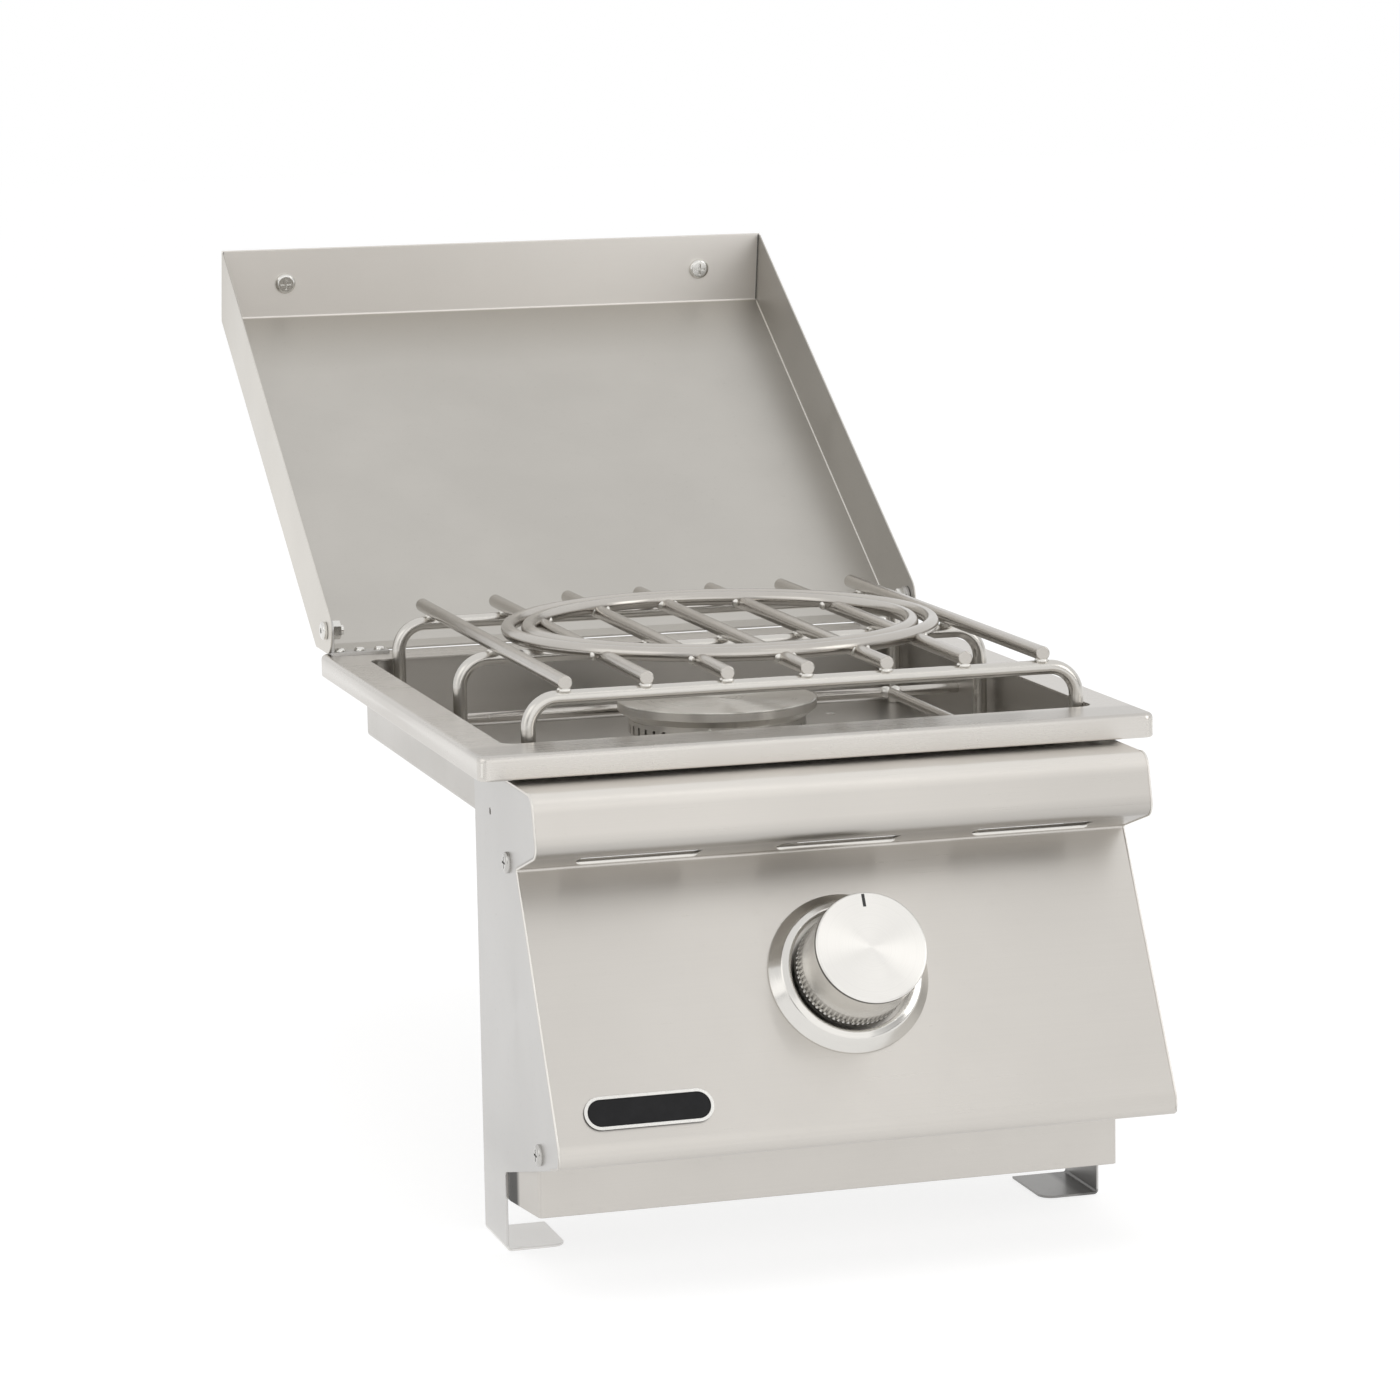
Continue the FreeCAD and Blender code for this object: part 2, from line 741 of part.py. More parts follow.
# Valve: nose, flange, barrel, outlet boss and a side boss for the inlet
def make_valve():
    bottom = -valve_seat - sheet
    barrel_top = bottom - valve_flange
    corners = [(0, -valve_depth - outlet_boss), (outlet_radius, -valve_depth - outlet_boss),
               (outlet_radius, -valve_depth), (valve_barrel, -valve_depth), (valve_barrel, bottom),
               (nose_radius, bottom), (nose_radius, -valve_nose), (0, -valve_nose)]
    body = turned(corners, [0, 0.8, 0, 1.5, 0, 0, 0.8, 0], knob_base, face_out)
    half_x = valve_screw_place + valve_ear
    half_s = nose_radius + 3.0
    flange_corners = [knob_axis_point(barrel_top) + along_x * (sx * half_x) + face_down * (sz * half_s)
                      for sx, sz in ((-1, -1), (1, -1), (1, 1), (-1, 1))]
    flange = rounded_face(flange_corners, [4.0] * 4).extrude(face_out * valve_flange)
    inlet = cylinder(inlet_boss_radius, knob_axis_point(-inlet_depth),
                     knob_axis_point(-inlet_depth) + along_x * inlet_boss_end)
    body = body.fuse(flange).fuse(inlet)
    bore = cylinder(stem_radius + stem_play, knob_axis_point(0),
                    knob_axis_point(-stem_in - push_travel - 2))
    outlet = cylinder(tube_radius, knob_axis_point(-valve_depth - outlet_boss - 1),
                      knob_axis_point(-valve_depth - outlet_boss + tube_socket))
    body = body.cut(bore).cut(outlet)
    for side in (1, -1):
        start = knob_axis_point(0) + along_x * (side * valve_screw_place)
        end = start - face_out * (valve_seat + sheet + valve_flange + 1)
        body = body.cut(cylinder(valve_screw_radius, start, end))
    return body.removeSplitter()


# Hat bracket that holds the valve behind the panel
def make_valve_bracket():
    edge = -hat_width / 2
    path = [(-hat_half - hat_foot, -sheet), (-hat_half, -sheet), (-hat_half, -valve_seat),
            (hat_half, -valve_seat), (hat_half, -sheet), (hat_half + hat_foot, -sheet)]
    corners = [knob_axis_point(out) + along_x * x + face_down * edge for x, out in path]
    bend = sheet * 1.5
    hat = bent_sheet(corners, [bend + sheet, bend + sheet, bend + sheet, bend + sheet], -sheet, face_down,
                     face_down * hat_width)
    through = face_out * (valve_seat + sheet + 1)
    hat = hat.cut(cylinder(nose_radius + play / 2, knob_base, knob_base - through))
    for side in (1, -1):
        start = knob_base + along_x * (side * valve_screw_place)
        hat = hat.cut(cylinder(valve_screw_radius + screw_play, start, start - through))
    return hat


def make_valve_screws():
    screws = []
    for side in (1, -1):
        seat = knob_axis_point(-valve_seat) + along_x * (side * valve_screw_place)
        screws.append(pan_screw(seat, face_out, along_x, valve_screw_radius, valve_screw_head,
                                valve_screw_head_height, sheet + valve_flange - 0.5))
    return Part.makeCompound(screws)


# Elbow with the flare end that the gas hose screws on to
def make_inlet():
    side = knob_axis_point(-inlet_depth)
    corner = side + along_x * elbow_side
    elbow_end = corner + along_y * elbow_run
    hex_end = elbow_end + along_y * inlet_hex_length
    thread_end = hex_end + along_y * inlet_thread
    fitting = rod([side + along_x * inlet_boss_end, corner, elbow_end], [elbow_bend], elbow_radius)
    fitting = fitting.fuse(hexagon(inlet_hex, elbow_end, hex_end, along_z))
    fitting = fitting.fuse(cylinder(inlet_radius, hex_end, thread_end))
    cone = Part.makeCone(inlet_radius - 0.4, inlet_bore + 1.2, inlet_radius - inlet_bore - 1.6,
                         thread_end, along_y)
    bore_end = thread_end + along_y * inlet_radius
    bore = rod([side + along_x * (inlet_boss_end - 1), corner, bore_end], [elbow_bend], inlet_bore)
    return fitting.fuse(cone).removeSplitter().cut(bore)


# Bent gas tube from the valve's outlet up to the orifice
def make_supply_tube():
    outlet = knob_axis_point(-valve_depth - outlet_boss + tube_socket)
    turn = outlet - face_out * tube_run
    path = [outlet, turn, point(0, turn.y, -gas_line_drop),
            point(0, spud_back + tube_socket, -gas_line_drop)]
    bends = [tube_bend, tube_bend]
    return rod(path, bends, tube_radius).cut(rod(path, bends, tube_radius - tube_wall))


# Brass orifice with its nose inside the air shutter
def make_spud():
    start = point(0, spud_back, -gas_line_drop)
    hex_end = start + along_y * spud_length
    nose_end = hex_end + along_y * spud_nose
    spud = hexagon(spud_hex, start, hex_end, along_z).fuse(cylinder(tube_radius, hex_end, nose_end))
    spud = spud.cut(cylinder(tube_radius, start - along_y, start + along_y * tube_socket))
    return spud.cut(cylinder(spud_bore, start, nose_end + along_y))


# Elbow that carries gas and air up into the burner
def make_mixer():
    end = floor_top - neck_socket
    path = [point(0, mixer_mouth, -gas_line_drop), point(0, burner_back, -gas_line_drop),
            point(0, burner_back, end)]
    return rod(path, [mixer_bend], mixer_radius).cut(rod(path, [mixer_bend], mixer_radius - mixer_wall))


# Cup on the mixing tube's mouth with two air windows
def make_shutter():
    start = point(0, shutter_front, -gas_line_drop)
    end = start + along_y * shutter_length
    cup = cylinder(mixer_radius + shutter_wall, start, end)
    cup = cup.cut(cylinder(mixer_radius, start + along_y * shutter_wall, end + along_y))
    cup = cup.cut(cylinder(tube_radius, start - along_y, start + along_y * (2 * shutter_wall)))
    window = Part.makeBox(3 * mixer_radius, shutter_window, mixer_radius,
                          start + point(-1.5 * mixer_radius, shutter_wall + 1.5, -mixer_radius / 2))
    return cup.cut(window)


# Burner body: seat on the box floor, neck, flared bowl and a ported wall
def make_burner():
    base = point(0, burner_back, 0)
    wall_top = -cap_top - cap_height
    socket = floor_top - neck_socket
    neck_end = -box_depth - neck_below
    inner = mixer_radius - mixer_wall
    outside = [(neck_radius, neck_end), (neck_radius, floor_top), (seat_radius, floor_top),
               (seat_radius, floor_top + seat_thick), (neck_radius + 2, floor_top + seat_thick),
               (neck_radius + 3, floor_top + 6), (head_radius - 3, wall_top - 11),
               (head_radius, wall_top - 9), (head_radius, wall_top)]
    inside = [(head_radius - head_wall, wall_top), (head_radius - head_wall, wall_top - 8.5),
              (neck_radius, floor_top + 8), (inner, socket), (mixer_radius, socket),
              (mixer_radius, neck_end)]
    body = turned(outside + inside, [0] * (len(outside) + len(inside)), base, along_z)
    port = Part.makeBox(head_wall + 4, port_width, port_bottom - port_top,
                        point(head_radius - head_wall - 2, -port_width / 2, -port_bottom))
    ports = []
    for index in range(port_count):
        turned_port = port.copy()
        turned_port.rotate(point(0, 0, 0), along_z, (index + 0.5) * 360 / port_count)
        turned_port.translate(base)
        ports.append(turned_port)
    return body.cut(Part.makeCompound(ports))


# Cap with an upright edge, undercut down to the burner's wall
def make_cap():
    base = point(0, burner_back, 0)
    top = -cap_top
    low = top - cap_height
    inner = head_radius - head_wall - 3
    corners = [(0, top), (cap_radius, top), (cap_radius, top - cap_edge), (head_radius + 0.5, low),
               (inner, low), (inner, top - cap_shell), (0, top - cap_shell)]
    return turned(corners, [0, 0.7, 0.3, 0, 0, 2.0, 0], base, along_z)


# Wire stays in the box behind and beside the burner
def make_stays():
    half = box_half - sheet
    level = -stay_drop
    side_rod = cylinder(stay_radius, point(stay_side, box_front + sheet, level),
                        point(stay_side, stay_back + stay_radius, level))
    cross_rod = cylinder(stay_radius, point(-half, stay_back, level), point(stay_side, stay_back, level))
    right_rod = cylinder(stay_radius, point(stay_side, stay_back, level), point(half, stay_back, level))
    return side_rod.fuse(cross_rod).fuse(right_rod).removeSplitter()


# Ceramic electrode with its wire, and the tab that holds it on the box floor
def make_electrode():
    top = point(spark_x, spark_back, -spark_top)
    bottom = -box_depth - spark_below
    body = turned([(0, bottom), (spark_radius, bottom), (spark_radius, -spark_top), (0, -spark_top)],
                  [0, 0.5, 1.0, 0], point(spark_x, spark_back, 0), along_z)
    wire = cylinder(spark_wire, top - along_z * 2, point(spark_x, spark_back, -spark_tip))
    return body.fuse(wire)


def make_electrode_bracket():
    x = spark_x - spark_tab_width / 2
    back = spark_back + spark_radius + 1.5
    path = [
        point(x, spark_back - spark_radius - spark_tab_reach, floor_top + sheet),
        point(x, spark_back - spark_radius - 3, floor_top + sheet),
        point(x, spark_back - spark_radius - 3, floor_top + 9),
        point(x, back, floor_top + 9),
    ]
    tab = bent_sheet(path, [2.4, 2.4], -sheet, along_x, along_x * spark_tab_width)
    return tab.cut(cylinder(spark_radius, point(spark_x, spark_back, floor_top - 1),
                            point(spark_x, spark_back, floor_top + 20)))


# Round ring that lies half sunk in the bars it crosses
def make_ring(radius):
    circle = Part.makeCircle(ring_rod_radius, ring_centre + along_x * radius, along_y)
    return Part.Face(Part.Wire(circle)).revolve(ring_centre, along_z, 360)


def make_outer_ring():
    return make_ring(ring_radius)


def make_inner_ring():
    return make_ring(ring_radius - ring_gap)


# Seven round bars with softened ends, notched where the rings cross them
def make_bars():
    bars = []
    length = bar_rear - bar_front
    for x in bar_places:
        bar = turned([(0, 0), (bar_radius, 0), (bar_radius, length), (0, length)], [0, 0.8, 0.8, 0],
                     point(x, bar_front, bar_height), along_y)
        bars.append(bar.cut(make_outer_ring()).cut(make_inner_ring()))
    return Part.makeCompound(bars)


# Bent rod that stands on the box floor and carries the bars
def make_leg_rod(y):
    foot = floor_top + grate_play
    left = grate_shift - leg_rod_half
    right = grate_shift + leg_rod_half
    path = [point(left, y, foot), point(left, y, leg_rod_top), point(right, y, leg_rod_top),
            point(right, y, foot)]
    return rod(path, [leg_rod_bend, leg_rod_bend], leg_rod_radius)


# Lid lines in the closed pose, as (y, z) on the outer surface
lid_round = pivot_height - lid_gap
lid_down = math.radians(180 - lid_open)
rear_run = point(0, math.cos(lid_down), -math.sin(lid_down))
rear_side = point(0, math.sin(lid_down), math.cos(lid_down))
lid_edge = point(0, lid_front, lid_gap)
lid_front_fold = point(0, lid_front + lid_slope, lid_height)
fold_step = (pivot_height + lid_round * math.cos(lid_down) - lid_height) / math.sin(lid_down)
lid_rear_fold = pivot + rear_side * lid_round + rear_run * fold_step
lid_rear_edge = lid_rear_fold + rear_run * lid_rear_flange
front_run = direction(lid_edge, lid_front_fold)
front_out = along_x.cross(front_run)


def swing_open(shape):
    shape.rotate(pivot, along_x, lid_open_turn)
    return shape


def handle_seat(side):
    return lid_edge + front_run * handle_post_up + along_x * (side * handle_post_x)


# Lid: one sheet folded down at the front, the rear and both sides
def make_lid():
    tangent = pivot + rear_side * lid_round
    behind = pivot + along_y * lid_round
    below = pivot - along_z * lid_round
    edges = rounded_path([lid_edge, lid_front_fold, lid_rear_fold, tangent], [lid_fold, lid_fold])
    edges.append(Part.Arc(tangent, behind, below).toShape())
    edges.append(Part.makeLine(below, lid_edge))
    outer = Part.Face(Part.Wire(edges)).extrude(along_x * (2 * lid_half))
    outer.translate(along_x * -lid_half)
    line = [lid_edge, lid_front_fold, lid_rear_fold, lid_rear_edge]
    inner, inner_bends = sheet_side(line, [lid_fold, lid_fold], -lid_sheet, along_x)
    start = inner[0] - front_run * 6
    beyond = lid_rear_edge + rear_side * 2
    far = point(0, pivot_back + lid_round + 4, beyond.z)
    path = [start] + inner[1:] + [beyond, far, point(0, far.y, start.z), start]
    edges = rounded_path(path, inner_bends + [0, 0, 0, 0])
    hollow = Part.Face(Part.Wire(edges)).extrude(along_x * (2 * (lid_half - lid_sheet)))
    hollow.translate(along_x * (lid_sheet - lid_half))
    lid = outer.cut(hollow)
    across = along_x * rim_width
    lid = lid.cut(cylinder(bolt_radius + bolt_play, pivot - across, pivot + across))
    for side in (1, -1):
        seat = handle_seat(side)
        lid = lid.cut(cylinder(handle_screw_radius + screw_play, seat + front_out * 2, seat - front_out * 4))
    return swing_open(lid)


# Bar handle outside the lid's front flange, on two posts held by screws from inside
def make_handle():
    axis = lid_edge + front_run * handle_post_up + front_out * handle_stand
    length = 2 * handle_half
    outline = [(0, 0), (handle_radius, 0), (handle_radius, length), (0, length)]
    return swing_open(turned(outline, [0, 2.0, 2.0, 0], axis - along_x * handle_half, along_x))


def make_handle_posts():
    posts = []
    for side in (1, -1):
        seat = handle_seat(side)
        axis = lid_edge + front_run * handle_post_up + front_out * handle_stand
        post = cylinder(handle_post_radius, seat, seat + front_out * handle_stand)
        post = post.cut(cylinder(handle_radius, axis - along_x * handle_half, axis + along_x * handle_half))
        post = post.cut(cylinder(handle_screw_radius, seat - front_out, seat + front_out * handle_post_bore))
        posts.append(swing_open(post))
    return Part.makeCompound(posts)


def make_handle_screws():
    screws = []
    for side in (1, -1):
        seat = handle_seat(side) - front_out * lid_sheet
        screw = pan_screw(seat, front_out * -1, along_x, handle_screw_radius, handle_screw_head,
                          handle_screw_head_height, handle_screw_reach + lid_sheet)
        screws.append(swing_open(screw))
    return Part.makeCompound(screws)


# Riveted ear with a rounded head round the pivot
def make_ear():
    foot = Part.makeBox(ear_outer - ear_foot_inner, ear_foot_back - ear_foot_front, ear_sheet,
                        point(ear_foot_inner, ear_foot_front, 0))
    x = ear_outer - ear_sheet
    front = pivot_back - ear_head
    back = pivot_back + ear_head
    edges = [
        Part.makeLine(point(x, front, 0), point(x, front, pivot_height)),
        Part.Arc(point(x, front, pivot_height), point(x, pivot_back, pivot_height + ear_head),
                 point(x, back, pivot_height)).toShape(),
        Part.makeLine(point(x, back, pivot_height), point(x, ear_foot_back, ear_sheet)),
        Part.makeLine(point(x, ear_foot_back, ear_sheet), point(x, ear_foot_back, 0)),
        Part.makeLine(point(x, ear_foot_back, 0), point(x, front, 0)),
    ]
    plate = Part.Face(Part.Wire(edges)).extrude(along_x * ear_sheet)
    ear = foot.fuse(plate).removeSplitter()
    ear = ear.cut(cylinder(bolt_radius, pivot, pivot + along_x * rim_width))
    for place in rivet_places():
        ear = ear.cut(cylinder(rivet_radius, place - along_z, place + along_z * (ear_sheet + 1)))
    return ear


def make_pivot_bolt():
    head = lid_half + bolt_gap
    inner = ear_outer - ear_sheet - nut_thick - bolt_end
    seat = pivot + along_x * head
    bolt = turned([(0, 0), (bolt_head, 0), (bolt_head, bolt_head_height), (0, bolt_head_height)],
                  [0, 0, 1.6, 0], seat, along_x)
    bolt = bolt.fuse(cylinder(bolt_radius, pivot + along_x * inner, seat))
    top = seat + along_x * bolt_head_height
    socket = hexagon(bolt_socket, top - along_x * (bolt_head_height / 2), top + along_x, along_z)
    return bolt.cut(socket)


def make_pivot_nut():
    end = pivot + along_x * (ear_outer - ear_sheet)
    nut = hexagon(nut_hex, end - along_x * nut_thick, end, along_z)
    return nut.cut(cylinder(bolt_radius, end - along_x * (nut_thick + 1), end + along_x))


def make_ear_rivets():
    rivets = []
    for place in rivet_places():
        base = place + along_z * ear_sheet
        dome = turned([(0, 0), (rivet_dome, 0), (rivet_dome, rivet_dome_height), (0, rivet_dome_height)],
                      [0, 0, rivet_dome_height - 0.3, 0], base, along_z)
        shank = cylinder(rivet_radius, place - along_z * (sheet + rivet_tail), base)
        tail = cylinder(rivet_radius + 1, place - along_z * (sheet + rivet_tail), place - along_z * sheet)
        rivet = dome.fuse(shank).fuse(tail)
        rivets += [rivet, mirrored(rivet)]
    return Part.makeCompound(rivets)


nodes = {
    "rim_frame": make_rim,
    "burner_box": make_box,
    "right_side_bracket": make_bracket,
    "left_side_bracket": lambda: mirrored(make_bracket()),
    "control_panel": make_panel,
    "lower_apron": make_apron,
    "bracket_screws": make_bracket_screws,
    "name_plate": make_name_plate,
    "knob_bezel": make_bezel,
    "knob": make_knob,
    "knob_pointer": make_pointer,
    "valve_stem": make_stem,
    "stem_collar": make_collar,
    "valve_body": make_valve,
    "valve_bracket": make_valve_bracket,
    "valve_screws": make_valve_screws,
    "gas_inlet_fitting": make_inlet,
    "supply_tube": make_supply_tube,
    "orifice_spud": make_spud,
    "mixing_tube": make_mixer,
    "air_shutter": make_shutter,
    "burner_body": make_burner,
    "burner_cap": make_cap,
    "burner_stays": make_stays,
    "igniter_electrode": make_electrode,
    "electrode_bracket": make_electrode_bracket,
    "grate_bars": make_bars,
    "grate_outer_ring": make_outer_ring,
    "grate_inner_ring": make_inner_ring,
    "grate_front_rod": lambda: make_leg_rod(front_rod),
    "grate_middle_rod": lambda: make_leg_rod(middle_rod),
    "grate_rear_rod": lambda: make_leg_rod(rear_rod),
    "lid_shell": make_lid,
    "lid_handle": make_handle,
    "handle_posts": make_handle_posts,
    "handle_screws": make_handle_screws,
    "right_pivot_ear": make_ear,
    "left_pivot_ear": lambda: mirrored(make_ear()),
    "pivot_bolts": lambda: both_sides(make_pivot_bolt()),
    "pivot_nuts": lambda: both_sides(make_pivot_nut()),
    "ear_rivets": make_ear_rivets,
}

os.makedirs("parts", exist_ok=True)
to_origin = point(0, -hem_y, rim_skirt)
for name, make in nodes.items():
    shape = make()
    shape.translate(to_origin)
    shape.exportStep("parts/" + name + ".step")
    print(name, len(shape.Solids), "solids", round(shape.Volume), "mm3", shape.isValid())
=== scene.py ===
import itertools
import json
import math

import bpy
import numpy as np
from mathutils import Matrix, Vector


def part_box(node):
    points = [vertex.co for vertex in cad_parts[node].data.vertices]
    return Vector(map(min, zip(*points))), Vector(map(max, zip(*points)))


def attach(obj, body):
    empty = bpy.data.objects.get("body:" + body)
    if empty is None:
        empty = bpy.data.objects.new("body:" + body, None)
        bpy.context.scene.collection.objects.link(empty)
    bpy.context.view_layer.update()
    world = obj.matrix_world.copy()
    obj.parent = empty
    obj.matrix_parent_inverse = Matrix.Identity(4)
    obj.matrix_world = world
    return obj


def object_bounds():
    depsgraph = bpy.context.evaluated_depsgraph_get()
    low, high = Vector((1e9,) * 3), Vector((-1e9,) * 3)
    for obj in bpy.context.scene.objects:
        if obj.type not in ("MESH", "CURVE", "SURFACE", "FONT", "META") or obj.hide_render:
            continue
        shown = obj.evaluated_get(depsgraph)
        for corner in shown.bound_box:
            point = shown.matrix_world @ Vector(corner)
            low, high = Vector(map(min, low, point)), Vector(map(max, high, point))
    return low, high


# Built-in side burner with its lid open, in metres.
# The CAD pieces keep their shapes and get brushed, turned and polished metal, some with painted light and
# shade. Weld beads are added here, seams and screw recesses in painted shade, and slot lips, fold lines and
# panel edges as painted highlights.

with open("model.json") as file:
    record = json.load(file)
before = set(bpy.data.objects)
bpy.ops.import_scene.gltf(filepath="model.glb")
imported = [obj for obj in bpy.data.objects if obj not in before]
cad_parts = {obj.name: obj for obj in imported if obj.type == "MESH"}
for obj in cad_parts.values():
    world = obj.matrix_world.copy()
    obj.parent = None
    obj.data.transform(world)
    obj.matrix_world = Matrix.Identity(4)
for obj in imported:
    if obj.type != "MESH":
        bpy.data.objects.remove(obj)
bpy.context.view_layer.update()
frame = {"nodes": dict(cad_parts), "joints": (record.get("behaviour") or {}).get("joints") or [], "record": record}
nodes = frame["nodes"]
print("frame loaded:", len(nodes), "pieces")

knobTurn = next(joint for joint in frame["joints"] if joint["name"] == "knob_turn")
knobBase = Vector(knobTurn["pos_m"])   # where the knob's axis meets the panel
faceOut = Vector(knobTurn["axis"])   # the control panel's outward direction


# Node groups shared by the metals

def newGroup(name, inputs, outputs):
    group = bpy.data.node_groups.new(name, "ShaderNodeTree")
    for label, kind, value in inputs:
        socket = group.interface.new_socket(label, in_out="INPUT", socket_type=kind)
        if value is not None:
            socket.default_value = value
    for label, kind in outputs:
        group.interface.new_socket(label, in_out="OUTPUT", socket_type=kind)
    entry = group.nodes.new("NodeGroupInput")
    leave = group.nodes.new("NodeGroupOutput")
    return group, entry, leave


def mathNode(tree, operation, first, second=None, third=None):
    node = tree.nodes.new("ShaderNodeMath")
    node.operation = operation
    for socket, value in zip(node.inputs, (first, second, third)):
        if value is None:
            continue
        if isinstance(value, (int, float)):
            socket.default_value = value
        else:
            tree.links.new(value, socket)
    return node.outputs[0]


def vectorNode(tree, operation, first, second=None):
    node = tree.nodes.new("ShaderNodeVectorMath")
    node.operation = operation
    for socket, value in zip(node.inputs, (first, second)):
        if isinstance(value, (tuple, Vector)):
            socket.default_value = tuple(value)
        elif value is not None:
            tree.links.new(value, socket)
    return node.outputs["Value" if operation in ("DOT_PRODUCT", "LENGTH") else "Vector"]


def noiseNode(tree, vector, scale, detail, roughness=0.5):
    node = tree.nodes.new("ShaderNodeTexNoise")
    node.inputs["Scale"].default_value = scale
    node.inputs["Detail"].default_value = detail
    node.inputs["Roughness"].default_value = roughness
    tree.links.new(vector, node.inputs["Vector"])
    return node.outputs["Fac"]


def spread(tree, value, low, high, fromLow=0.0, fromHigh=1.0):
    node = tree.nodes.new("ShaderNodeMapRange")
    node.inputs["From Min"].default_value = fromLow
    node.inputs["From Max"].default_value = fromHigh
    node.inputs["To Min"].default_value = low
    node.inputs["To Max"].default_value = high
    tree.links.new(value, node.inputs["Value"])
    return node.outputs["Result"]


# Noises of the shared groups: scale, detail and roughness of each
brushNoises = {"fine": (1.0, 3.0, 0.6), "coarse": (0.17, 2.0, 0.5), "cloud": (11.0, 4.0, 0.55)}
turnedNoise = (1.0, 2.0, 0.5)
markNoises = {"smear": (1.0, 5.0, 0.6), "speck": (28.0, 1.0, 0.4)}
markSpans = {"smear": (0.42, 0.72), "speck": (0.70, 0.76)}   # where each mark begins and is full


# Brushed grain: noise stretched along the brushing direction, a fine and a coarse layer.
# Stretch is how often the pattern changes per metre along x, y and z.
def makeBrushGroup():
    group, entry, leave = newGroup(
        "brushedGrain",
        [("Vector", "NodeSocketVector", None), ("Stretch", "NodeSocketVector", (6.0, 2200.0, 2200.0)),
         ("Coarse", "NodeSocketFloat", 0.3)],
        [("Grain", "NodeSocketFloat"), ("Cloud", "NodeSocketFloat")])
    scaled = vectorNode(group, "MULTIPLY", entry.outputs["Vector"], entry.outputs["Stretch"])
    fine = noiseNode(group, scaled, *brushNoises["fine"])
    coarse = noiseNode(group, scaled, *brushNoises["coarse"])
    part = mathNode(group, "MULTIPLY", coarse, entry.outputs["Coarse"])
    rest = mathNode(group, "SUBTRACT", 1.0, entry.outputs["Coarse"])
    grain = mathNode(group, "MULTIPLY_ADD", fine, rest, part)
    cloud = noiseNode(group, entry.outputs["Vector"], *brushNoises["cloud"])
    group.links.new(grain, leave.inputs["Grain"])
    group.links.new(cloud, leave.inputs["Cloud"])
    return group


# Turned grain: rings about an axis, as a lathe leaves them. Centre and axis are in metres.
def makeTurnedGroup():
    group, entry, leave = newGroup(
        "turnedGrain",
        [("Vector", "NodeSocketVector", None), ("Centre", "NodeSocketVector", (0.0, 0.0, 0.0)),
         ("Axis", "NodeSocketVector", (0.0, 0.0, 1.0)), ("Rings per metre", "NodeSocketFloat", 2500.0)],
        [("Grain", "NodeSocketFloat"), ("Radius", "NodeSocketFloat"), ("Height", "NodeSocketFloat")])
    offset = vectorNode(group, "SUBTRACT", entry.outputs["Vector"], entry.outputs["Centre"])
    height = vectorNode(group, "DOT_PRODUCT", offset, entry.outputs["Axis"])
    across = vectorNode(group, "CROSS_PRODUCT", offset, entry.outputs["Axis"])
    radius = vectorNode(group, "LENGTH", across)
    place = group.nodes.new("ShaderNodeCombineXYZ")
    for socket, value in zip(place.inputs, (radius, height)):
        group.links.new(mathNode(group, "MULTIPLY", value, entry.outputs["Rings per metre"]), socket)
    grain = noiseNode(group, place.outputs[0], *turnedNoise)
    for label, value in (("Grain", grain), ("Radius", radius), ("Height", height)):
        group.links.new(value, leave.inputs[label])
    return group


# Handling marks: soft smears and faint specks that dull the metal here and there
def makeSmearGroup():
    group, entry, leave = newGroup(
        "handlingMarks",
        [("Vector", "NodeSocketVector", None), ("Size", "NodeSocketFloat", 30.0)],
        [("Smear", "NodeSocketFloat"), ("Speck", "NodeSocketFloat")])
    scaled = group.nodes.new("ShaderNodeVectorMath")
    scaled.operation = "SCALE"
    group.links.new(entry.outputs["Vector"], scaled.inputs[0])
    group.links.new(entry.outputs["Size"], scaled.inputs["Scale"])
    for label, mark in (("Smear", "smear"), ("Speck", "speck")):
        noise = noiseNode(group, scaled.outputs[0], *markNoises[mark])
        group.links.new(spread(group, noise, 0, 1, *markSpans[mark]), leave.inputs[label])
    return group


brushGroup = makeBrushGroup()
turnedGroup = makeTurnedGroup()
smearGroup = makeSmearGroup()


def startMaterial(name, color, metallic, roughness):
    material = bpy.data.materials.new(name)
    material.use_nodes = True
    tree = material.node_tree
    shader = tree.nodes["Principled BSDF"]
    shader.inputs["Base Color"].default_value = (*color, 1.0)
    shader.inputs["Metallic"].default_value = metallic
    shader.inputs["Roughness"].default_value = roughness
    material.diffuse_color = (*color, 1.0)
    place = tree.nodes.new("ShaderNodeTexCoord").outputs["Object"]
    return material, tree, shader, place


def groupNode(tree, group, place, **values):
    node = tree.nodes.new("ShaderNodeGroup")
    node.node_tree = group
    tree.links.new(place, node.inputs["Vector"])
    for label, value in values.items():
        node.inputs[label.replace("_", " ")].default_value = value
    return node


def mixColors(tree, factor, low, high, blend="MIX"):
    node = tree.nodes.new("ShaderNodeMix")
    node.data_type = "RGBA"
    node.blend_type = blend
    tree.links.new(factor, node.inputs["Factor"])
    for socket, value in ((node.inputs["A"], low), (node.inputs["B"], high)):
        if isinstance(value, tuple):
            socket.default_value = (*value, 1.0)
        else:
            tree.links.new(value, socket)
    return node.outputs["Result"]


def addBump(tree, shader, height, distance, edge):
    bump = tree.nodes.new("ShaderNodeBump")
    bump.inputs["Strength"].default_value = 1.0
    bump.inputs["Distance"].default_value = distance
    tree.links.new(height, bump.inputs["Height"])
    if edge > 0:   # softens the sheet's cut edges so that they catch the light
        bevel = tree.nodes.new("ShaderNodeBevel")
        bevel.samples = 4
        bevel.inputs["Radius"].default_value = edge
        tree.links.new(bevel.outputs["Normal"], bump.inputs["Normal"])
    tree.links.new(bump.outputs["Normal"], shader.inputs["Normal"])


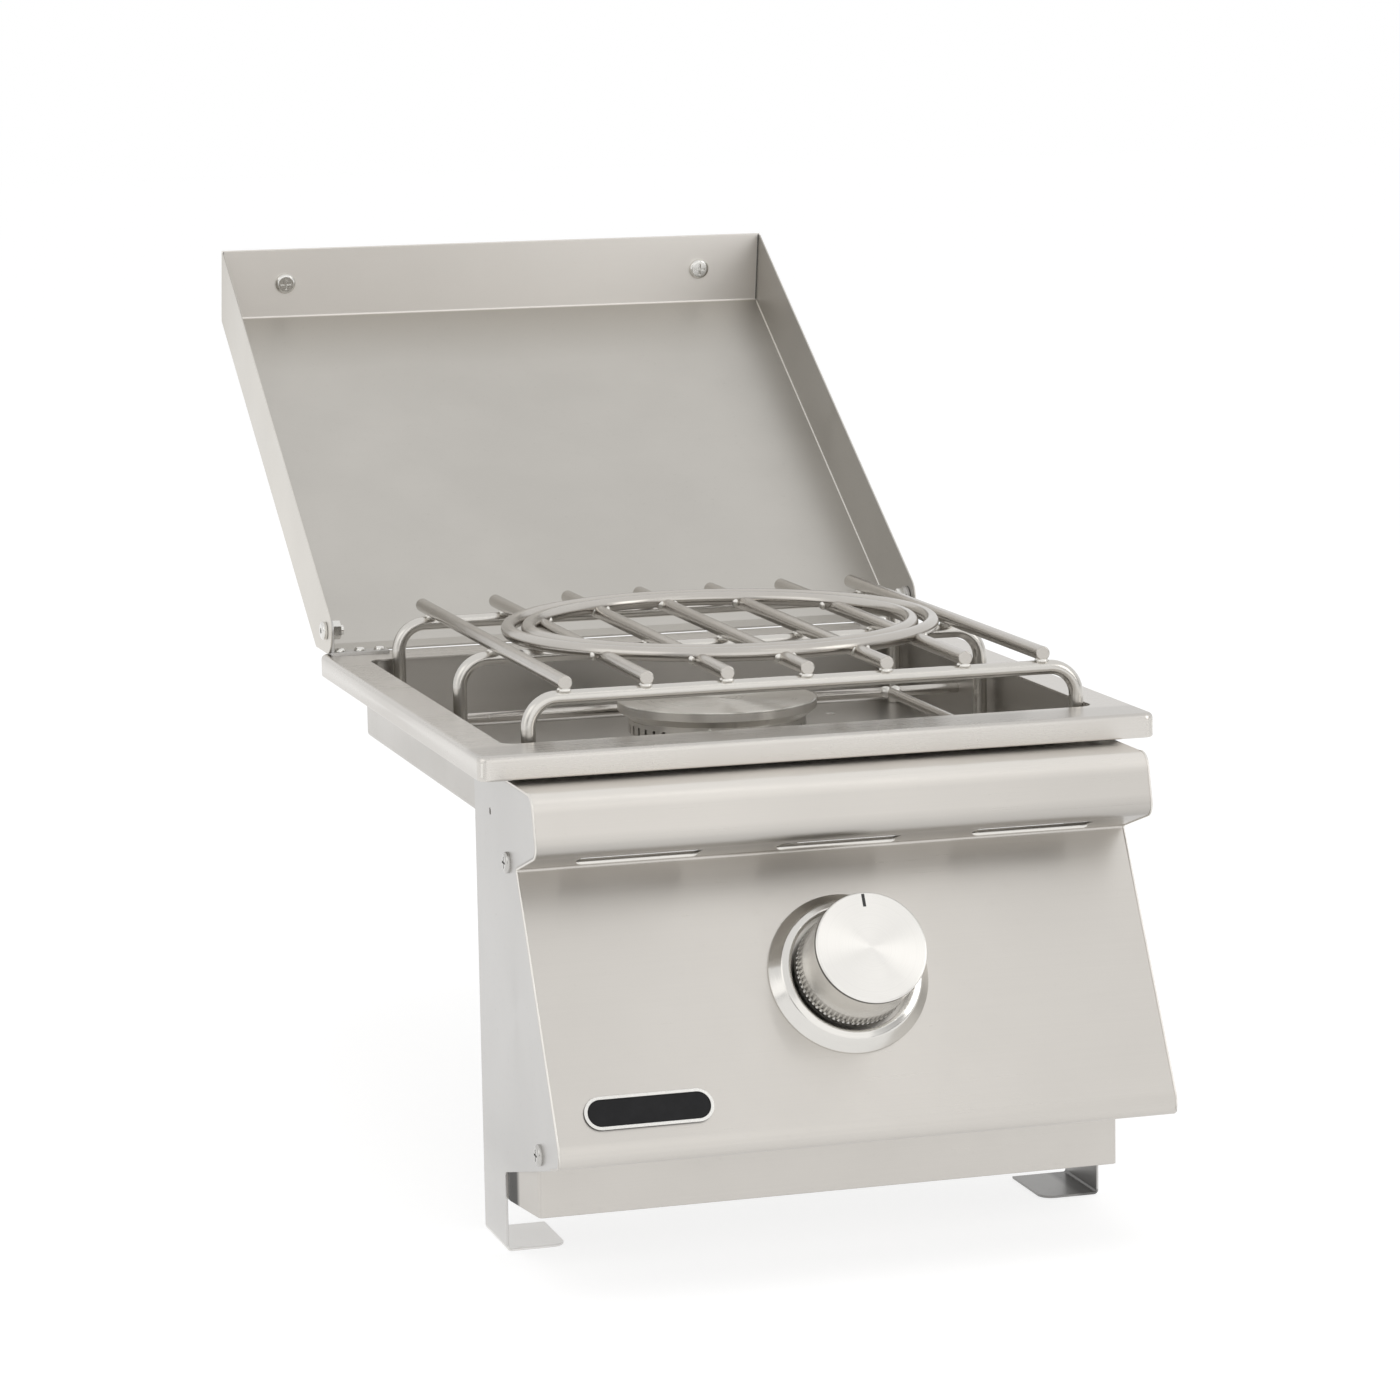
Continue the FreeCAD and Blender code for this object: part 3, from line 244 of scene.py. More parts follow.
# Turned metal glints in wedges, because its fine grooves run round the axis
def turnedTangent(tree, shader, place, centre, axis, amount):
    tangent = vectorNode(tree, "CROSS_PRODUCT", axis, vectorNode(tree, "SUBTRACT", place, centre))
    tree.links.new(tangent, shader.inputs["Tangent"])
    shader.inputs["Anisotropic"].default_value = amount
    shader.inputs["Anisotropic Rotation"].default_value = 0.25   # the glint spreads across the grooves


def shade(color, amount):
    return tuple(min(1.0, channel * amount) for channel in color)


# Grain lies mostly between these two values, so that span is what gets spread
grainSpan = (0.3, 0.7)


# A tone that the grain shifts between a darker and a lighter shade of the color
def grainTone(tree, grain, color, darker, lighter):
    return mixColors(tree, spread(tree, grain, 0, 1, *grainSpan), shade(color, darker), shade(color, lighter))


# Roughness that the grain shifts to either side, and that smears add to
def grainRoughness(tree, grain, smear, look):
    low, high = look["roughness"] - look["grain"], look["roughness"] + look["grain"]
    return mathNode(tree, "MULTIPLY_ADD", smear, look["smear"], spread(tree, grain, low, high, *grainSpan))


# Paints light and shade into the metal's colour where every test holds: a tint above 1 is painted light, one
# below 1 painted shade. A test names a coordinate, or weights for |x|, y and z, then the value where the tint
# begins and the value where it is full.
def paintedLightPatches(tree, place, tone, patches):
    split = tree.nodes.new("ShaderNodeSeparateXYZ")
    tree.links.new(place, split.inputs[0])
    absX = mathNode(tree, "ABSOLUTE", split.outputs["X"])
    for tests, tint in patches:
        mask = None
        for axis, begins, full in tests:
            if isinstance(axis, tuple):
                value = mathNode(tree, "MULTIPLY", absX, axis[0])
                value = mathNode(tree, "MULTIPLY_ADD", split.outputs["Y"], axis[1], value)
                value = mathNode(tree, "MULTIPLY_ADD", split.outputs["Z"], axis[2], value)
            else:
                value = absX if axis == "absX" else split.outputs[axis]
            step = spread(tree, value, 0, 1, begins, full)
            mask = step if mask is None else mathNode(tree, "MULTIPLY", mask, step)
        tone = mixColors(tree, mask, tone, (tint, tint, tint), "MULTIPLY")
    return tone


# Cloud and specks of brushed sheet, and how far before the lid's fold its band of painted shade and its
# flange of painted light begin and are full
sheetValues = {"cloud": (0.35, 0.65), "cloudShade": 0.9, "speck": 0.08, "foldShadeBand": (0.055, 0.004),
               "flangeStep": (0.0024, 0.0016)}


def brushedMetal(name, look):
    color = look["color"]
    material, tree, shader, place = startMaterial(name, color, 1.0, look["roughness"])
    grain = groupNode(tree, brushGroup, place, Stretch=look["stretch"], Coarse=look["coarse"])
    marks = groupNode(tree, smearGroup, place, Size=look["smearSize"])
    tone = grainTone(tree, grain.outputs["Grain"], color, 1 - look["contrast"], 1 + look["contrast"])
    cloud = spread(tree, grain.outputs["Cloud"], 0, look["cloud"], *sheetValues["cloud"])
    clouded = mixColors(tree, cloud, tone, shade(color, sheetValues["cloudShade"]))
    if "flange" in look:   # the lid's front flange gets painted light, and the panel a band of painted shade towards it
        ahead = vectorNode(tree, "DOT_PRODUCT", place, look["flangeOut"])
        level = Vector(look["flangeFold"]).dot(Vector(look["flangeOut"]))
        for band, tint in (("foldShadeBand", "dull"), ("flangeStep", "flange")):
            begins, full = (level - before for before in sheetValues[band])
            clouded = mixColors(tree, spread(tree, ahead, 0, 1, begins, full), clouded, look[tint])
    clouded = paintedLightPatches(tree, place, clouded, look["patches"])
    tree.links.new(clouded, shader.inputs["Base Color"])
    rough = grainRoughness(tree, grain.outputs["Grain"], marks.outputs["Smear"], look)
    rough = mathNode(tree, "MULTIPLY_ADD", marks.outputs["Speck"], sheetValues["speck"], rough)
    tree.links.new(rough, shader.inputs["Roughness"])
    shader.inputs["Anisotropic"].default_value = look["anisotropic"]
    if look["anisotropic"] > 0:
        tangent = tree.nodes.new("ShaderNodeTangent")
        tangent.direction_type = "RADIAL"
        tangent.axis = look["axis"]
        tree.links.new(tangent.outputs["Tangent"], shader.inputs["Tangent"])
    addBump(tree, shader, grain.outputs["Grain"], look["bump"], look["edge"])
    return material


def turnedMetal(name, look):
    color = look["color"]
    material, tree, shader, place = startMaterial(name, color, 1.0, look["roughness"])
    rings = groupNode(tree, turnedGroup, place, Centre=tuple(look["centre"]), Axis=tuple(look["axis"]),
                      Rings_per_metre=look["rings"])
    marks = groupNode(tree, smearGroup, place, Size=look["smearSize"])
    tone = grainTone(tree, rings.outputs["Grain"], color, 1 - look["contrast"], 1 + look["contrast"])
    stain = spread(tree, marks.outputs["Smear"], 0, look["stain"])
    tree.links.new(mixColors(tree, stain, tone, look["stainColor"]), shader.inputs["Base Color"])
    rough = grainRoughness(tree, rings.outputs["Grain"], marks.outputs["Smear"], look)
    tree.links.new(rough, shader.inputs["Roughness"])
    if look["anisotropic"] > 0:
        turnedTangent(tree, shader, place, look["centre"], look["axis"], look["anisotropic"])
    addBump(tree, shader, rings.outputs["Grain"], look["bump"], look["edge"])
    return material


# Drawn rod and polished pieces: nearly smooth, with draw marks and a little dulling
def polishedMetal(name, look):
    color = look["color"]
    material, tree, shader, place = startMaterial(name, color, 1.0, look["roughness"])
    grain = groupNode(tree, brushGroup, place, Stretch=look["stretch"], Coarse=look["coarse"])
    marks = groupNode(tree, smearGroup, place, Size=look["smearSize"])
    stain = spread(tree, marks.outputs["Smear"], 0, look["stain"])
    stained = mixColors(tree, stain, color, shade(color, look["stainShade"]))
    tree.links.new(stained, shader.inputs["Base Color"])
    rough = grainRoughness(tree, grain.outputs["Grain"], marks.outputs["Smear"], look)
    tree.links.new(rough, shader.inputs["Roughness"])
    addBump(tree, shader, grain.outputs["Grain"], look["bump"], look["edge"])
    return material


# Knob: lathe grain on the face, polish on the side, painted shade in the grooves of the grip band
def knobMetal(name, look):
    color = look["color"]
    material, tree, shader, place = startMaterial(name, color, 1.0, look["sideRoughness"])
    rings = groupNode(tree, turnedGroup, place, Centre=tuple(knobBase), Axis=tuple(faceOut),
                      Rings_per_metre=look["rings"])
    marks = groupNode(tree, smearGroup, place, Size=look["smearSize"])
    height, grain = rings.outputs["Height"], rings.outputs["Grain"]
    onFace = spread(tree, height, 0, 1, *look["face"])

    def between(rises, falls):
        above = spread(tree, height, 0, 1, *rises)
        return mathNode(tree, "MULTIPLY", above, spread(tree, height, 1, 0, *falls))

    inGrooves = spread(tree, rings.outputs["Radius"], 1, 0, *look["grooveRadius"])
    groove = mathNode(tree, "MULTIPLY", between(look["bandRises"], look["bandFalls"]), inGrooves)
    tone = grainTone(tree, grain, color, look["darker"], look["lighter"])
    tone = mixColors(tree, groove, tone, look["grooveShadeColor"])
    line = between(look["lineRises"], look["lineFalls"])
    tone = mixColors(tree, line, tone, look["lineShadeColor"])   # painted shade in the thin groove behind the face
    tree.links.new(tone, shader.inputs["Base Color"])
    rough = mathNode(tree, "MULTIPLY_ADD", onFace, look["faceRoughness"] - look["sideRoughness"],
                     look["sideRoughness"])
    rough = mathNode(tree, "MULTIPLY_ADD", marks.outputs["Smear"], look["smear"], rough)
    rough = mathNode(tree, "ADD", spread(tree, grain, -look["grain"], look["grain"], *grainSpan), rough)
    tree.links.new(rough, shader.inputs["Roughness"])
    turnedTangent(tree, shader, place, knobBase, faceOut, look["anisotropic"])
    addBump(tree, shader, rings.outputs["Grain"], look["bump"], look["edge"])
    return material


# Painted, glazed and marked surfaces. Smears wear the color and dull it by these amounts.
coatValues = {"wear": 0.5, "dulling": 0.12, "peelDetail": 2.0}


def coatedSurface(name, look):
    color = look["color"]
    material, tree, shader, place = startMaterial(name, color, look.get("metallic", 0.0), look["roughness"])
    marks = groupNode(tree, smearGroup, place, Size=look["smearSize"])
    wear = spread(tree, marks.outputs["Smear"], 0, coatValues["wear"])
    tree.links.new(mixColors(tree, wear, color, look["worn"]), shader.inputs["Base Color"])
    dull = look["roughness"] + coatValues["dulling"]
    rough = spread(tree, marks.outputs["Smear"], look["roughness"], dull)
    tree.links.new(rough, shader.inputs["Roughness"])
    peel = noiseNode(tree, place, look["peelScale"], coatValues["peelDetail"])
    addBump(tree, shader, peel, look["bump"], look["edge"])
    return material


# Bare name plate: black enamel field inside a bright raised border
def plateSurface(name, look):
    material, tree, shader, place = startMaterial(name, look["field"], 0.0, look["fieldRoughness"])
    rise = vectorNode(tree, "DOT_PRODUCT", vectorNode(tree, "SUBTRACT", place, knobBase), faceOut)
    border = spread(tree, rise, 0, 1, *look["borderHeight"])
    marks = groupNode(tree, smearGroup, place, Size=look["smearSize"])
    wear = spread(tree, marks.outputs["Smear"], 0, look["wear"])
    field = mixColors(tree, wear, look["field"], shade(look["field"], look["wornShade"]))
    tree.links.new(mixColors(tree, border, field, look["border"]), shader.inputs["Base Color"])
    shader.inputs["Specular IOR Level"].default_value = look["specular"]
    tree.links.new(border, shader.inputs["Metallic"])
    rough = mathNode(tree, "MULTIPLY_ADD", border, look["borderRoughness"] - look["fieldRoughness"],
                     look["fieldRoughness"])
    rough = mathNode(tree, "MULTIPLY_ADD", marks.outputs["Smear"], look["dulling"], rough)
    tree.links.new(rough, shader.inputs["Roughness"])
    peel = noiseNode(tree, place, look["peelScale"], coatValues["peelDetail"])
    addBump(tree, shader, peel, look["bump"], look["edge"])
    return material


# Metals and finishes, one dictionary for each

panelLook = {"color": (0.60, 0.575, 0.54), "roughness": 0.29, "contrast": 0.015, "cloud": 0.25,
             "coarse": 0.15, "grain": 0.02, "stretch": (9.0, 2400.0, 2400.0), "smearSize": 14.0,
             "smear": 0.04, "anisotropic": 0.7, "axis": "X", "bump": 0.000004, "edge": 0.0006, "patches": []}
noseLook = {**panelLook, "patches": [
    ([("Z", -0.012, -0.005)], 1.28),   # painted light on the top of the nose
    ([("Z", -0.0235, -0.034), ("Z", -0.0485, -0.0395)], 0.70)]}   # painted shade on the low bend of the nose
apronLook = {**panelLook, "patches": [   # painted shadow at its ends, ahead of the legs, in place of a shadowed gap
    ([("Y", -0.377, -0.3725), ("Y", -0.355, -0.359), ((0.989, -0.147, 0), 0.2209, 0.2213)], 0.10)]}
rimLook = {**panelLook, "color": (0.65, 0.625, 0.59), "roughness": 0.27, "cloud": 0.15, "edge": 0.0005,
           "patches": [([("Y", -0.366, -0.372), ("Z", 0.0118, 0.0126)], 0.87)]}   # painted shade along the front of the top
bracketLook = {**panelLook, "color": (0.585, 0.575, 0.56), "roughness": 0.34, "anisotropic": 0.3,
               "stretch": (1500.0, 1500.0, 12.0), "contrast": 0.02,
               "patches": [([("Z", -0.212, -0.232)], 1.09), ([("Z", -0.2622, -0.2632)], 1.24)]}   # painted light on the lower leg and on the foot
rightBracketLook = {**bracketLook, "patches": [
    ([("Z", -0.205, -0.222), ("X", 0.1708, 0.1703)], 0.50),   # painted shade on the inner side of the leg, and on the foot
    ([("Z", -0.2622, -0.2632), ("X", 0.158, 0.162)], 0.55)]}
lidLook = {**panelLook, "color": (0.56, 0.54, 0.505), "roughness": 0.42, "anisotropic": 0.4, "cloud": 0.5,
           # painted shade in a band before the lid's front fold (dull), painted light on its front flange (flange)
           "edge": 0.0004, "dull": (0.48, 0.46, 0.425), "flange": (0.80, 0.77, 0.73),
           "flangeFold": (0, 0.3119, 0.1959), "flangeOut": (0, 0.9837, 0.1799),
           "patches": [([("absX", 0.1858, 0.1862)], 1.34),   # painted light on the outer faces of the side flanges
                       ([("X", 0.1850, 0.1853), ("X", 0.1862, 0.1858)], 0.84)]}   # painted shade on the inner face on the right
boxLook = {**panelLook, "color": (0.54, 0.52, 0.49), "roughness": 0.30, "anisotropic": 0.5, "cloud": 0.5}
rodLook = {"color": (0.53, 0.505, 0.47), "roughness": 0.22, "grain": 0.02, "stretch": (900.0, 40.0, 900.0),
           "coarse": 0.5, "smearSize": 45.0, "smear": 0.05, "stain": 0.15, "stainShade": 0.8,
           "bump": 0.000002, "edge": 0.0005}
legLook = {**rodLook, "color": (0.62, 0.60, 0.565), "roughness": 0.21, "stretch": (300.0, 900.0, 900.0)}
bezelLook = {"color": (0.68, 0.665, 0.635), "centre": knobBase, "axis": faceOut, "rings": 1500.0,
             "roughness": 0.13, "grain": 0.06, "contrast": 0.02, "smearSize": 60.0, "smear": 0.05,
             "stain": 0.1, "stainColor": (0.6, 0.59, 0.57), "anisotropic": 0.4,
             "bump": 0.000008, "edge": 0.0003}
# Heights run along the knob's axis from the panel: where each zone begins and is full, or fades
knobLook = {"color": (0.79, 0.775, 0.745), "face": (0.0455, 0.0461), "lineRises": (0.0437, 0.0440),
            "lineFalls": (0.0456, 0.0458), "lineShadeColor": (0.12, 0.115, 0.11), "bandRises": (0.0095, 0.0100),
            "bandFalls": (0.0200, 0.0205), "grooveRadius": (0.0305, 0.0309),
            "grooveShadeColor": (0.60, 0.585, 0.56), "faceRoughness": 0.33, "sideRoughness": 0.19, "grain": 0.04,
            "darker": 0.96, "lighter": 1.03, "rings": 2600.0, "smearSize": 70.0, "smear": 0.05,
            "anisotropic": 0.8, "bump": 0.000006, "edge": 0.0004}
screwLook = {**rodLook, "color": (0.72, 0.71, 0.68), "roughness": 0.13, "stretch": (700.0, 700.0, 700.0),
             "edge": 0.0003}
dullScrewLook = {**screwLook, "color": (0.52, 0.51, 0.49), "roughness": 0.20}
# Weld beads; the same bright metal draws the painted highlights of the slot lips, lid folds and panel edges
weldAndHighlightLook = {**screwLook, "color": (0.76, 0.74, 0.70), "roughness": 0.30, "bump": 0.00003, "smear": 0.02}
burnerCentre = (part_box("burner_cap")[0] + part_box("burner_cap")[1]) / 2
burnerLook = {"color": (0.72, 0.695, 0.65), "centre": burnerCentre, "axis": Vector((0, 0, 1)),
              "rings": 1800.0, "roughness": 0.31, "grain": 0.06, "contrast": 0.04, "smearSize": 35.0,
              "smear": 0.08, "stain": 0.30, "stainColor": (0.54, 0.51, 0.46),
              "anisotropic": 0.85, "bump": 0.000008, "edge": 0.0004}
mixerLook = {**boxLook, "color": (0.52, 0.52, 0.51), "anisotropic": 0.0, "edge": 0.0004}
brassLook = {**rodLook, "color": (0.80, 0.62, 0.30), "roughness": 0.28, "stretch": (1200.0, 1200.0, 1200.0),
             "edge": 0.0003}
aluminiumLook = {**rodLook, "color": (0.74, 0.74, 0.74), "roughness": 0.34, "stretch": (400.0, 60.0, 60.0)}
castLook = {"color": (0.60, 0.60, 0.60), "metallic": 1.0, "roughness": 0.45, "smearSize": 60.0,
            "worn": (0.50, 0.50, 0.49), "peelScale": 900.0, "bump": 0.0001, "edge": 0.0005}
ceramicLook = {"color": (0.86, 0.85, 0.80), "roughness": 0.22, "smearSize": 90.0, "worn": (0.72, 0.68, 0.60),
               "peelScale": 500.0, "bump": 0.00002, "edge": 0.0004}
markLook = {"color": (0.02, 0.02, 0.02), "roughness": 0.35, "smearSize": 200.0, "worn": (0.06, 0.06, 0.06),
            "peelScale": 1500.0, "bump": 0.00001, "edge": 0.0}
seamLook = {**markLook, "color": (0.10, 0.095, 0.09), "roughness": 0.55, "worn": (0.16, 0.155, 0.15)}
plateLook = {"field": (0.010, 0.010, 0.011), "fieldRoughness": 0.30, "border": (0.78, 0.77, 0.74),
             "borderRoughness": 0.18, "borderHeight": (0.0012, 0.0014), "specular": 0.2, "smearSize": 90.0,
             "wear": 0.4, "wornShade": 2.2, "dulling": 0.08, "peelScale": 900.0,
             "bump": 0.00002, "edge": 0.0003}

finishes = {
    "panel_steel": brushedMetal("panelBrushedSteel", noseLook),
    "rim_steel": brushedMetal("rimBrushedSteel", rimLook),
    "bracket_steel": brushedMetal("bracketMillSteel", bracketLook),
    "lid_steel": brushedMetal("lidBrushedSteel", lidLook),
    "box_steel": brushedMetal("burnerBoxSteel", boxLook),
    "mixer_steel": brushedMetal("pressedSteel", mixerLook),
    "rod_steel": polishedMetal("drawnRodSteel", rodLook),
    "polished_steel": polishedMetal("polishedRodSteel", legLook),
    "screw_steel": polishedMetal("screwSteel", screwLook),
    "brass": polishedMetal("machinedBrass", brassLook),
    "tube_aluminium": polishedMetal("tubeAluminium", aluminiumLook),
    "burner_steel": turnedMetal("turnedBurnerSteel", burnerLook),
    "knob_metal": knobMetal("knobMetal", knobLook),
    "valve_aluminium": coatedSurface("castAluminium", castLook),
    "ceramic": coatedSurface("glazedCeramic", ceramicLook),
    "mark_black": coatedSurface("pointerBlack", markLook),
    "plate_metal": plateSurface("bareNamePlate", plateLook),
    "bezel": turnedMetal("polishedBezel", bezelLook),
    "apron": brushedMetal("apronBrushedSteel", apronLook),
    "rightBracket": brushedMetal("rightBracketSteel", rightBracketLook),
    "dullScrew": polishedMetal("bracketScrewSteel", dullScrewLook),
    "weld": polishedMetal("weldBeadAndHighlight", weldAndHighlightLook),
    "seam": coatedSurface("seamShadow", seamLook),
}
# Pieces whose finish differs from the others in their slot; the apron's and the right bracket's differ only by
# their patches of painted light and shade
ownFinish = {"knob_bezel": "bezel", "lower_apron": "apron", "right_side_bracket": "rightBracket",
             "bracket_screws": "dullScrew"}

slotOf = {part["node"]: part["material_slot"] for part in frame["record"]["subparts"]}
for nodeName, nodeObject in nodes.items():
    finish = finishes[ownFinish.get(nodeName, slotOf[nodeName])]
    nodeObject.data.materials.clear()
    nodeObject.data.materials.append(finish)
print("finishes on", len(nodes), "pieces")


# Surfaces made from arrays

# Joins grids of points into one mesh. Each grid is rows x columns x 3; its columns close on
# themselves, and its first and last rows are closed by a point in their middle.
def meshFromGrids(name, grids, material, body):
    points = []
    faces = []
    start = 0
    for grid in grids:
        rows, columns = grid.shape[:2]
        row = np.arange(rows - 1)[:, None]
        column = np.arange(columns)[None, :]
        onward = (column + 1) % columns
        low = start + row * columns
        high = low + columns
        quads = np.stack([low + column, low + onward, high + onward, high + column], axis=-1)
        faces += quads.reshape(-1, 4).tolist()
        points.append(grid.reshape(-1, 3))
        poles = np.stack([grid[0].mean(axis=0), grid[-1].mean(axis=0)])
        points.append(poles)
        first = start + rows * columns
        ring = np.arange(columns)
        after = (ring + 1) % columns
        bottom = np.stack([np.full(columns, first), start + after, start + ring], axis=-1)
        last = start + (rows - 1) * columns
        top = np.stack([np.full(columns, first + 1), last + ring, last + after], axis=-1)
        faces += bottom.tolist() + top.tolist()
        start += rows * columns + 2
    mesh = bpy.data.meshes.new(name)
    mesh.from_pydata(np.concatenate(points).tolist(), [], faces)
    mesh.polygons.foreach_set("use_smooth", np.ones(len(faces), dtype=bool))
    mesh.materials.append(material)
    mesh.update()
    piece = bpy.data.objects.new(name, mesh)
    bpy.context.scene.collection.objects.link(piece)
    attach(piece, body)


# Angles round a closed section
def around(count):
    return np.linspace(0, 2 * math.pi, count, endpoint=False)[None, :]


# Weld dab: a squashed ball whose radius ripples with the angle round it, so that it looks run.
# Point = centre + side*a*cos(u)*sin(v)*ripple + ahead*b*sin(u)*sin(v)*ripple - up*c*cos(v), where
# ripple = 1 + broad*sin(3u + seed)*sin(v) + fine*sin(5u + 2*seed).
dabShape = {"rows": 9, "columns": 14, "poleGap": 0.06, "broad": 0.09, "fine": 0.05}


def dab(centre, side, ahead, up, size, seed):
    v = np.linspace(dabShape["poleGap"], math.pi - dabShape["poleGap"], dabShape["rows"])[:, None]
    u = around(dabShape["columns"])
    broad = dabShape["broad"] * np.sin(3 * u + seed) * np.sin(v)
    ripple = 1 + broad + dabShape["fine"] * np.sin(5 * u + 2 * seed)
    a, b, c = size
    across = (a * ripple * np.cos(u) * np.sin(v))[..., None] * np.array(side)
    along = (b * ripple * np.sin(u) * np.sin(v))[..., None] * np.array(ahead)
    rise = (c * np.cos(v) * np.ones_like(u))[..., None] * np.array(up)
    return np.array(centre) + across + along - rise


upright = ((1, 0, 0), (0, 1, 0), (0, 0, 1))   # side, ahead and up of a dab that stands level

# Dabs where the rings cross the bars, and where the bars lie on the bent rods
grateWelds = {"ringDab": (0.0022, 0.0024, 0.0028), "rodDab": (0.0034, 0.0022, 0.0017), "barRadius": 0.004,
              "ringRod": 0.00415, "bars": 7, "beside": 0.0002, "proud": 0.0027, "above": 0.0008,
              "reach": 0.9, "apart": 0.0020, "sunk": 0.0001, "ringSeed": 1.7, "rodSeed": 1.3}


def makeGrateWelds():
    low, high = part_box("grate_bars")
    barRadius = grateWelds["barRadius"]
    bars = np.linspace(low.x + barRadius, high.x - barRadius, grateWelds["bars"])
    height = (low.z + high.z) / 2
    grids = []
    for ringName in ("grate_outer_ring", "grate_inner_ring"):
        ringLow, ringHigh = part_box(ringName)
        centre = (ringLow + ringHigh) / 2
        radius = (ringHigh.x - ringLow.x) / 2 - grateWelds["ringRod"]
        for x, side, end, face in itertools.product(bars, (-1, 1), (-1, 1), (-1, 1)):
            place = x - centre.x + side * (barRadius + grateWelds["beside"])
            if abs(place) > radius * grateWelds["reach"]:   # the bar misses the ring or only grazes it
                continue
            along = Vector((place, end * math.sqrt(radius ** 2 - place ** 2), 0))
            spot = centre + along * (1 + face * grateWelds["proud"] / radius)
            grids.append(dab((spot.x, spot.y, height + grateWelds["above"]), *upright, grateWelds["ringDab"],
                             grateWelds["ringSeed"] * len(grids)))
    for rodName in ("grate_front_rod", "grate_middle_rod", "grate_rear_rod"):
        rodLow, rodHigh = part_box(rodName)
        middle = (rodLow.y + rodHigh.y) / 2
        for x, side in itertools.product(bars, (-1, 1)):
            spot = (x, middle + side * grateWelds["apart"], rodHigh.z - grateWelds["sunk"])
            grids.append(dab(spot, *upright, grateWelds["rodDab"], grateWelds["rodSeed"] * len(grids)))
    meshFromGrids("grateWelds", grids, finishes["weld"], "grate")


makeGrateWelds()


# Open corner seams: a thin dark tube of painted shade for the shadowed gap where the lid's front flange
# meets each side flange, from the fold up to the edge.
# Point = line(t) + width*(cos(u)*side + sin(u)*inward), t going up the flange.
lidSeams = {"width": 0.0005, "half": 0.1853, "fold": (0.3108, 0.1965), "edge": (0.3026, 0.2410), "rows": 12,
            "columns": 8}


def makeLidSeams():
    t = np.linspace(0, 1, lidSeams["rows"])[:, None]
    u = around(lidSeams["columns"])
    fold, edge = np.array(lidSeams["fold"]), np.array(lidSeams["edge"])
    up = (edge - fold) / np.linalg.norm(edge - fold)
    grids = []
    for side in (-1, 1):
        x = side * (lidSeams["half"] + lidSeams["width"] * np.cos(u) * np.ones_like(t))
        inward = lidSeams["width"] * np.sin(u) * side
        y = fold[0] + (edge - fold)[0] * t - up[1] * inward
        z = fold[1] + (edge - fold)[1] * t + up[0] * inward
        grids.append(np.stack([x, y, z], axis=-1))
    meshFromGrids("lidSeams", grids, finishes["seam"], "lid")


makeLidSeams()


# Seam beads: thin upright runs of weld, ground nearly flush, at the rim's four corners.
# Point = foot + outward*proud*cos(u)*swell + tangent*width*sin(u)*swell, with z going up the skirt and
# swell = 1 + ripple*sin(z*ripples).
rimSeams = {"width": 0.0008, "proud": 0.00025, "corner": 0.006, "below": 0.0020, "above": 0.0036, "rows": 10,
            "columns": 10, "ripple": 0.10, "ripples": 3000}


def makeRimSeams():
    low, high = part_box("rim_frame")
    z = np.linspace(low.z + rimSeams["below"], high.z - rimSeams["above"], rimSeams["rows"])[:, None]
    u = around(rimSeams["columns"])
    swell = 1 + rimSeams["ripple"] * np.sin(z * rimSeams["ripples"])
    grids = []
    for sideX, edgeX in ((-1, low.x), (1, high.x)):
        for sideY, edgeY in ((-1, low.y), (1, high.y)):
            outward = np.array([sideX, sideY]) / math.sqrt(2)
            tangent = np.array([sideY, sideX]) / math.sqrt(2) * np.array([-1, 1])
            corner = rimSeams["corner"]
            foot = np.array([edgeX - sideX * corner, edgeY - sideY * corner]) + outward * corner
            across = np.cos(u) * rimSeams["proud"] * swell
            along = np.sin(u) * rimSeams["width"] * swell * sideX * sideY
            x = foot[0] + outward[0] * across + tangent[0] * along
            y = foot[1] + outward[1] * across + tangent[1] * along
            grids.append(np.stack([x, y, z * np.ones_like(u)], axis=-1))
    meshFromGrids("rimSeams", grids, finishes["weld"], "frame")


makeRimSeams()


# Weld beads where the stay rods meet, one each side of the side rod
stayWelds = {"size": (0.0036, 0.0042, 0.0034), "joint": (0.126, -0.137), "apart": 0.003, "above": 0.0005,
             "forward": 0.002, "seed": 1.8}


def makeStayWelds():
    low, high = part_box("burner_stays")
    height = (low.z + high.z) / 2 + stayWelds["above"]
    x, y = stayWelds["joint"]
    grids = [dab((x + side * stayWelds["apart"], y - stayWelds["forward"], height), *upright,
                 stayWelds["size"], stayWelds["seed"] + side) for side in (-1, 1)]
    meshFromGrids("stayWelds", grids, finishes["weld"], "frame")


makeStayWelds()


# Bead along a line of points: an oval that follows them and narrows at both ends.
# Point = line(t) + width*cos(u)*taper(t)*side + rise*sin(u)*taper(t)*up, where taper is the root of
# the way walked from the nearer end over the tip's length, from least up to 1.
beadShape = {"columns": 10, "points": 25, "least": 0.02}


def bead(line, side, up, width, rise, tip):
    u = around(beadShape["columns"])[..., None]
    walked = np.concatenate([[0], np.cumsum(np.linalg.norm(np.diff(line, axis=0), axis=1))])
    near = np.clip(np.minimum(walked, walked[-1] - walked) / tip, beadShape["least"], 1)
    taper = np.sqrt(near)[:, None, None]
    return line[:, None] + taper * (width * np.cos(u) * side[:, None] + rise * np.sin(u) * up[:, None])


# Straight line of points that crowd towards its ends
def straight(start, end):
    t = (1 - np.cos(np.linspace(0, math.pi, beadShape["points"])))[:, None] / 2
    return np.array(start) + (np.array(end) - np.array(start)) * t


# The same direction at every point of a line
def steady(vector, line):
    return np.tile(np.array(vector, dtype=float), (len(line), 1))


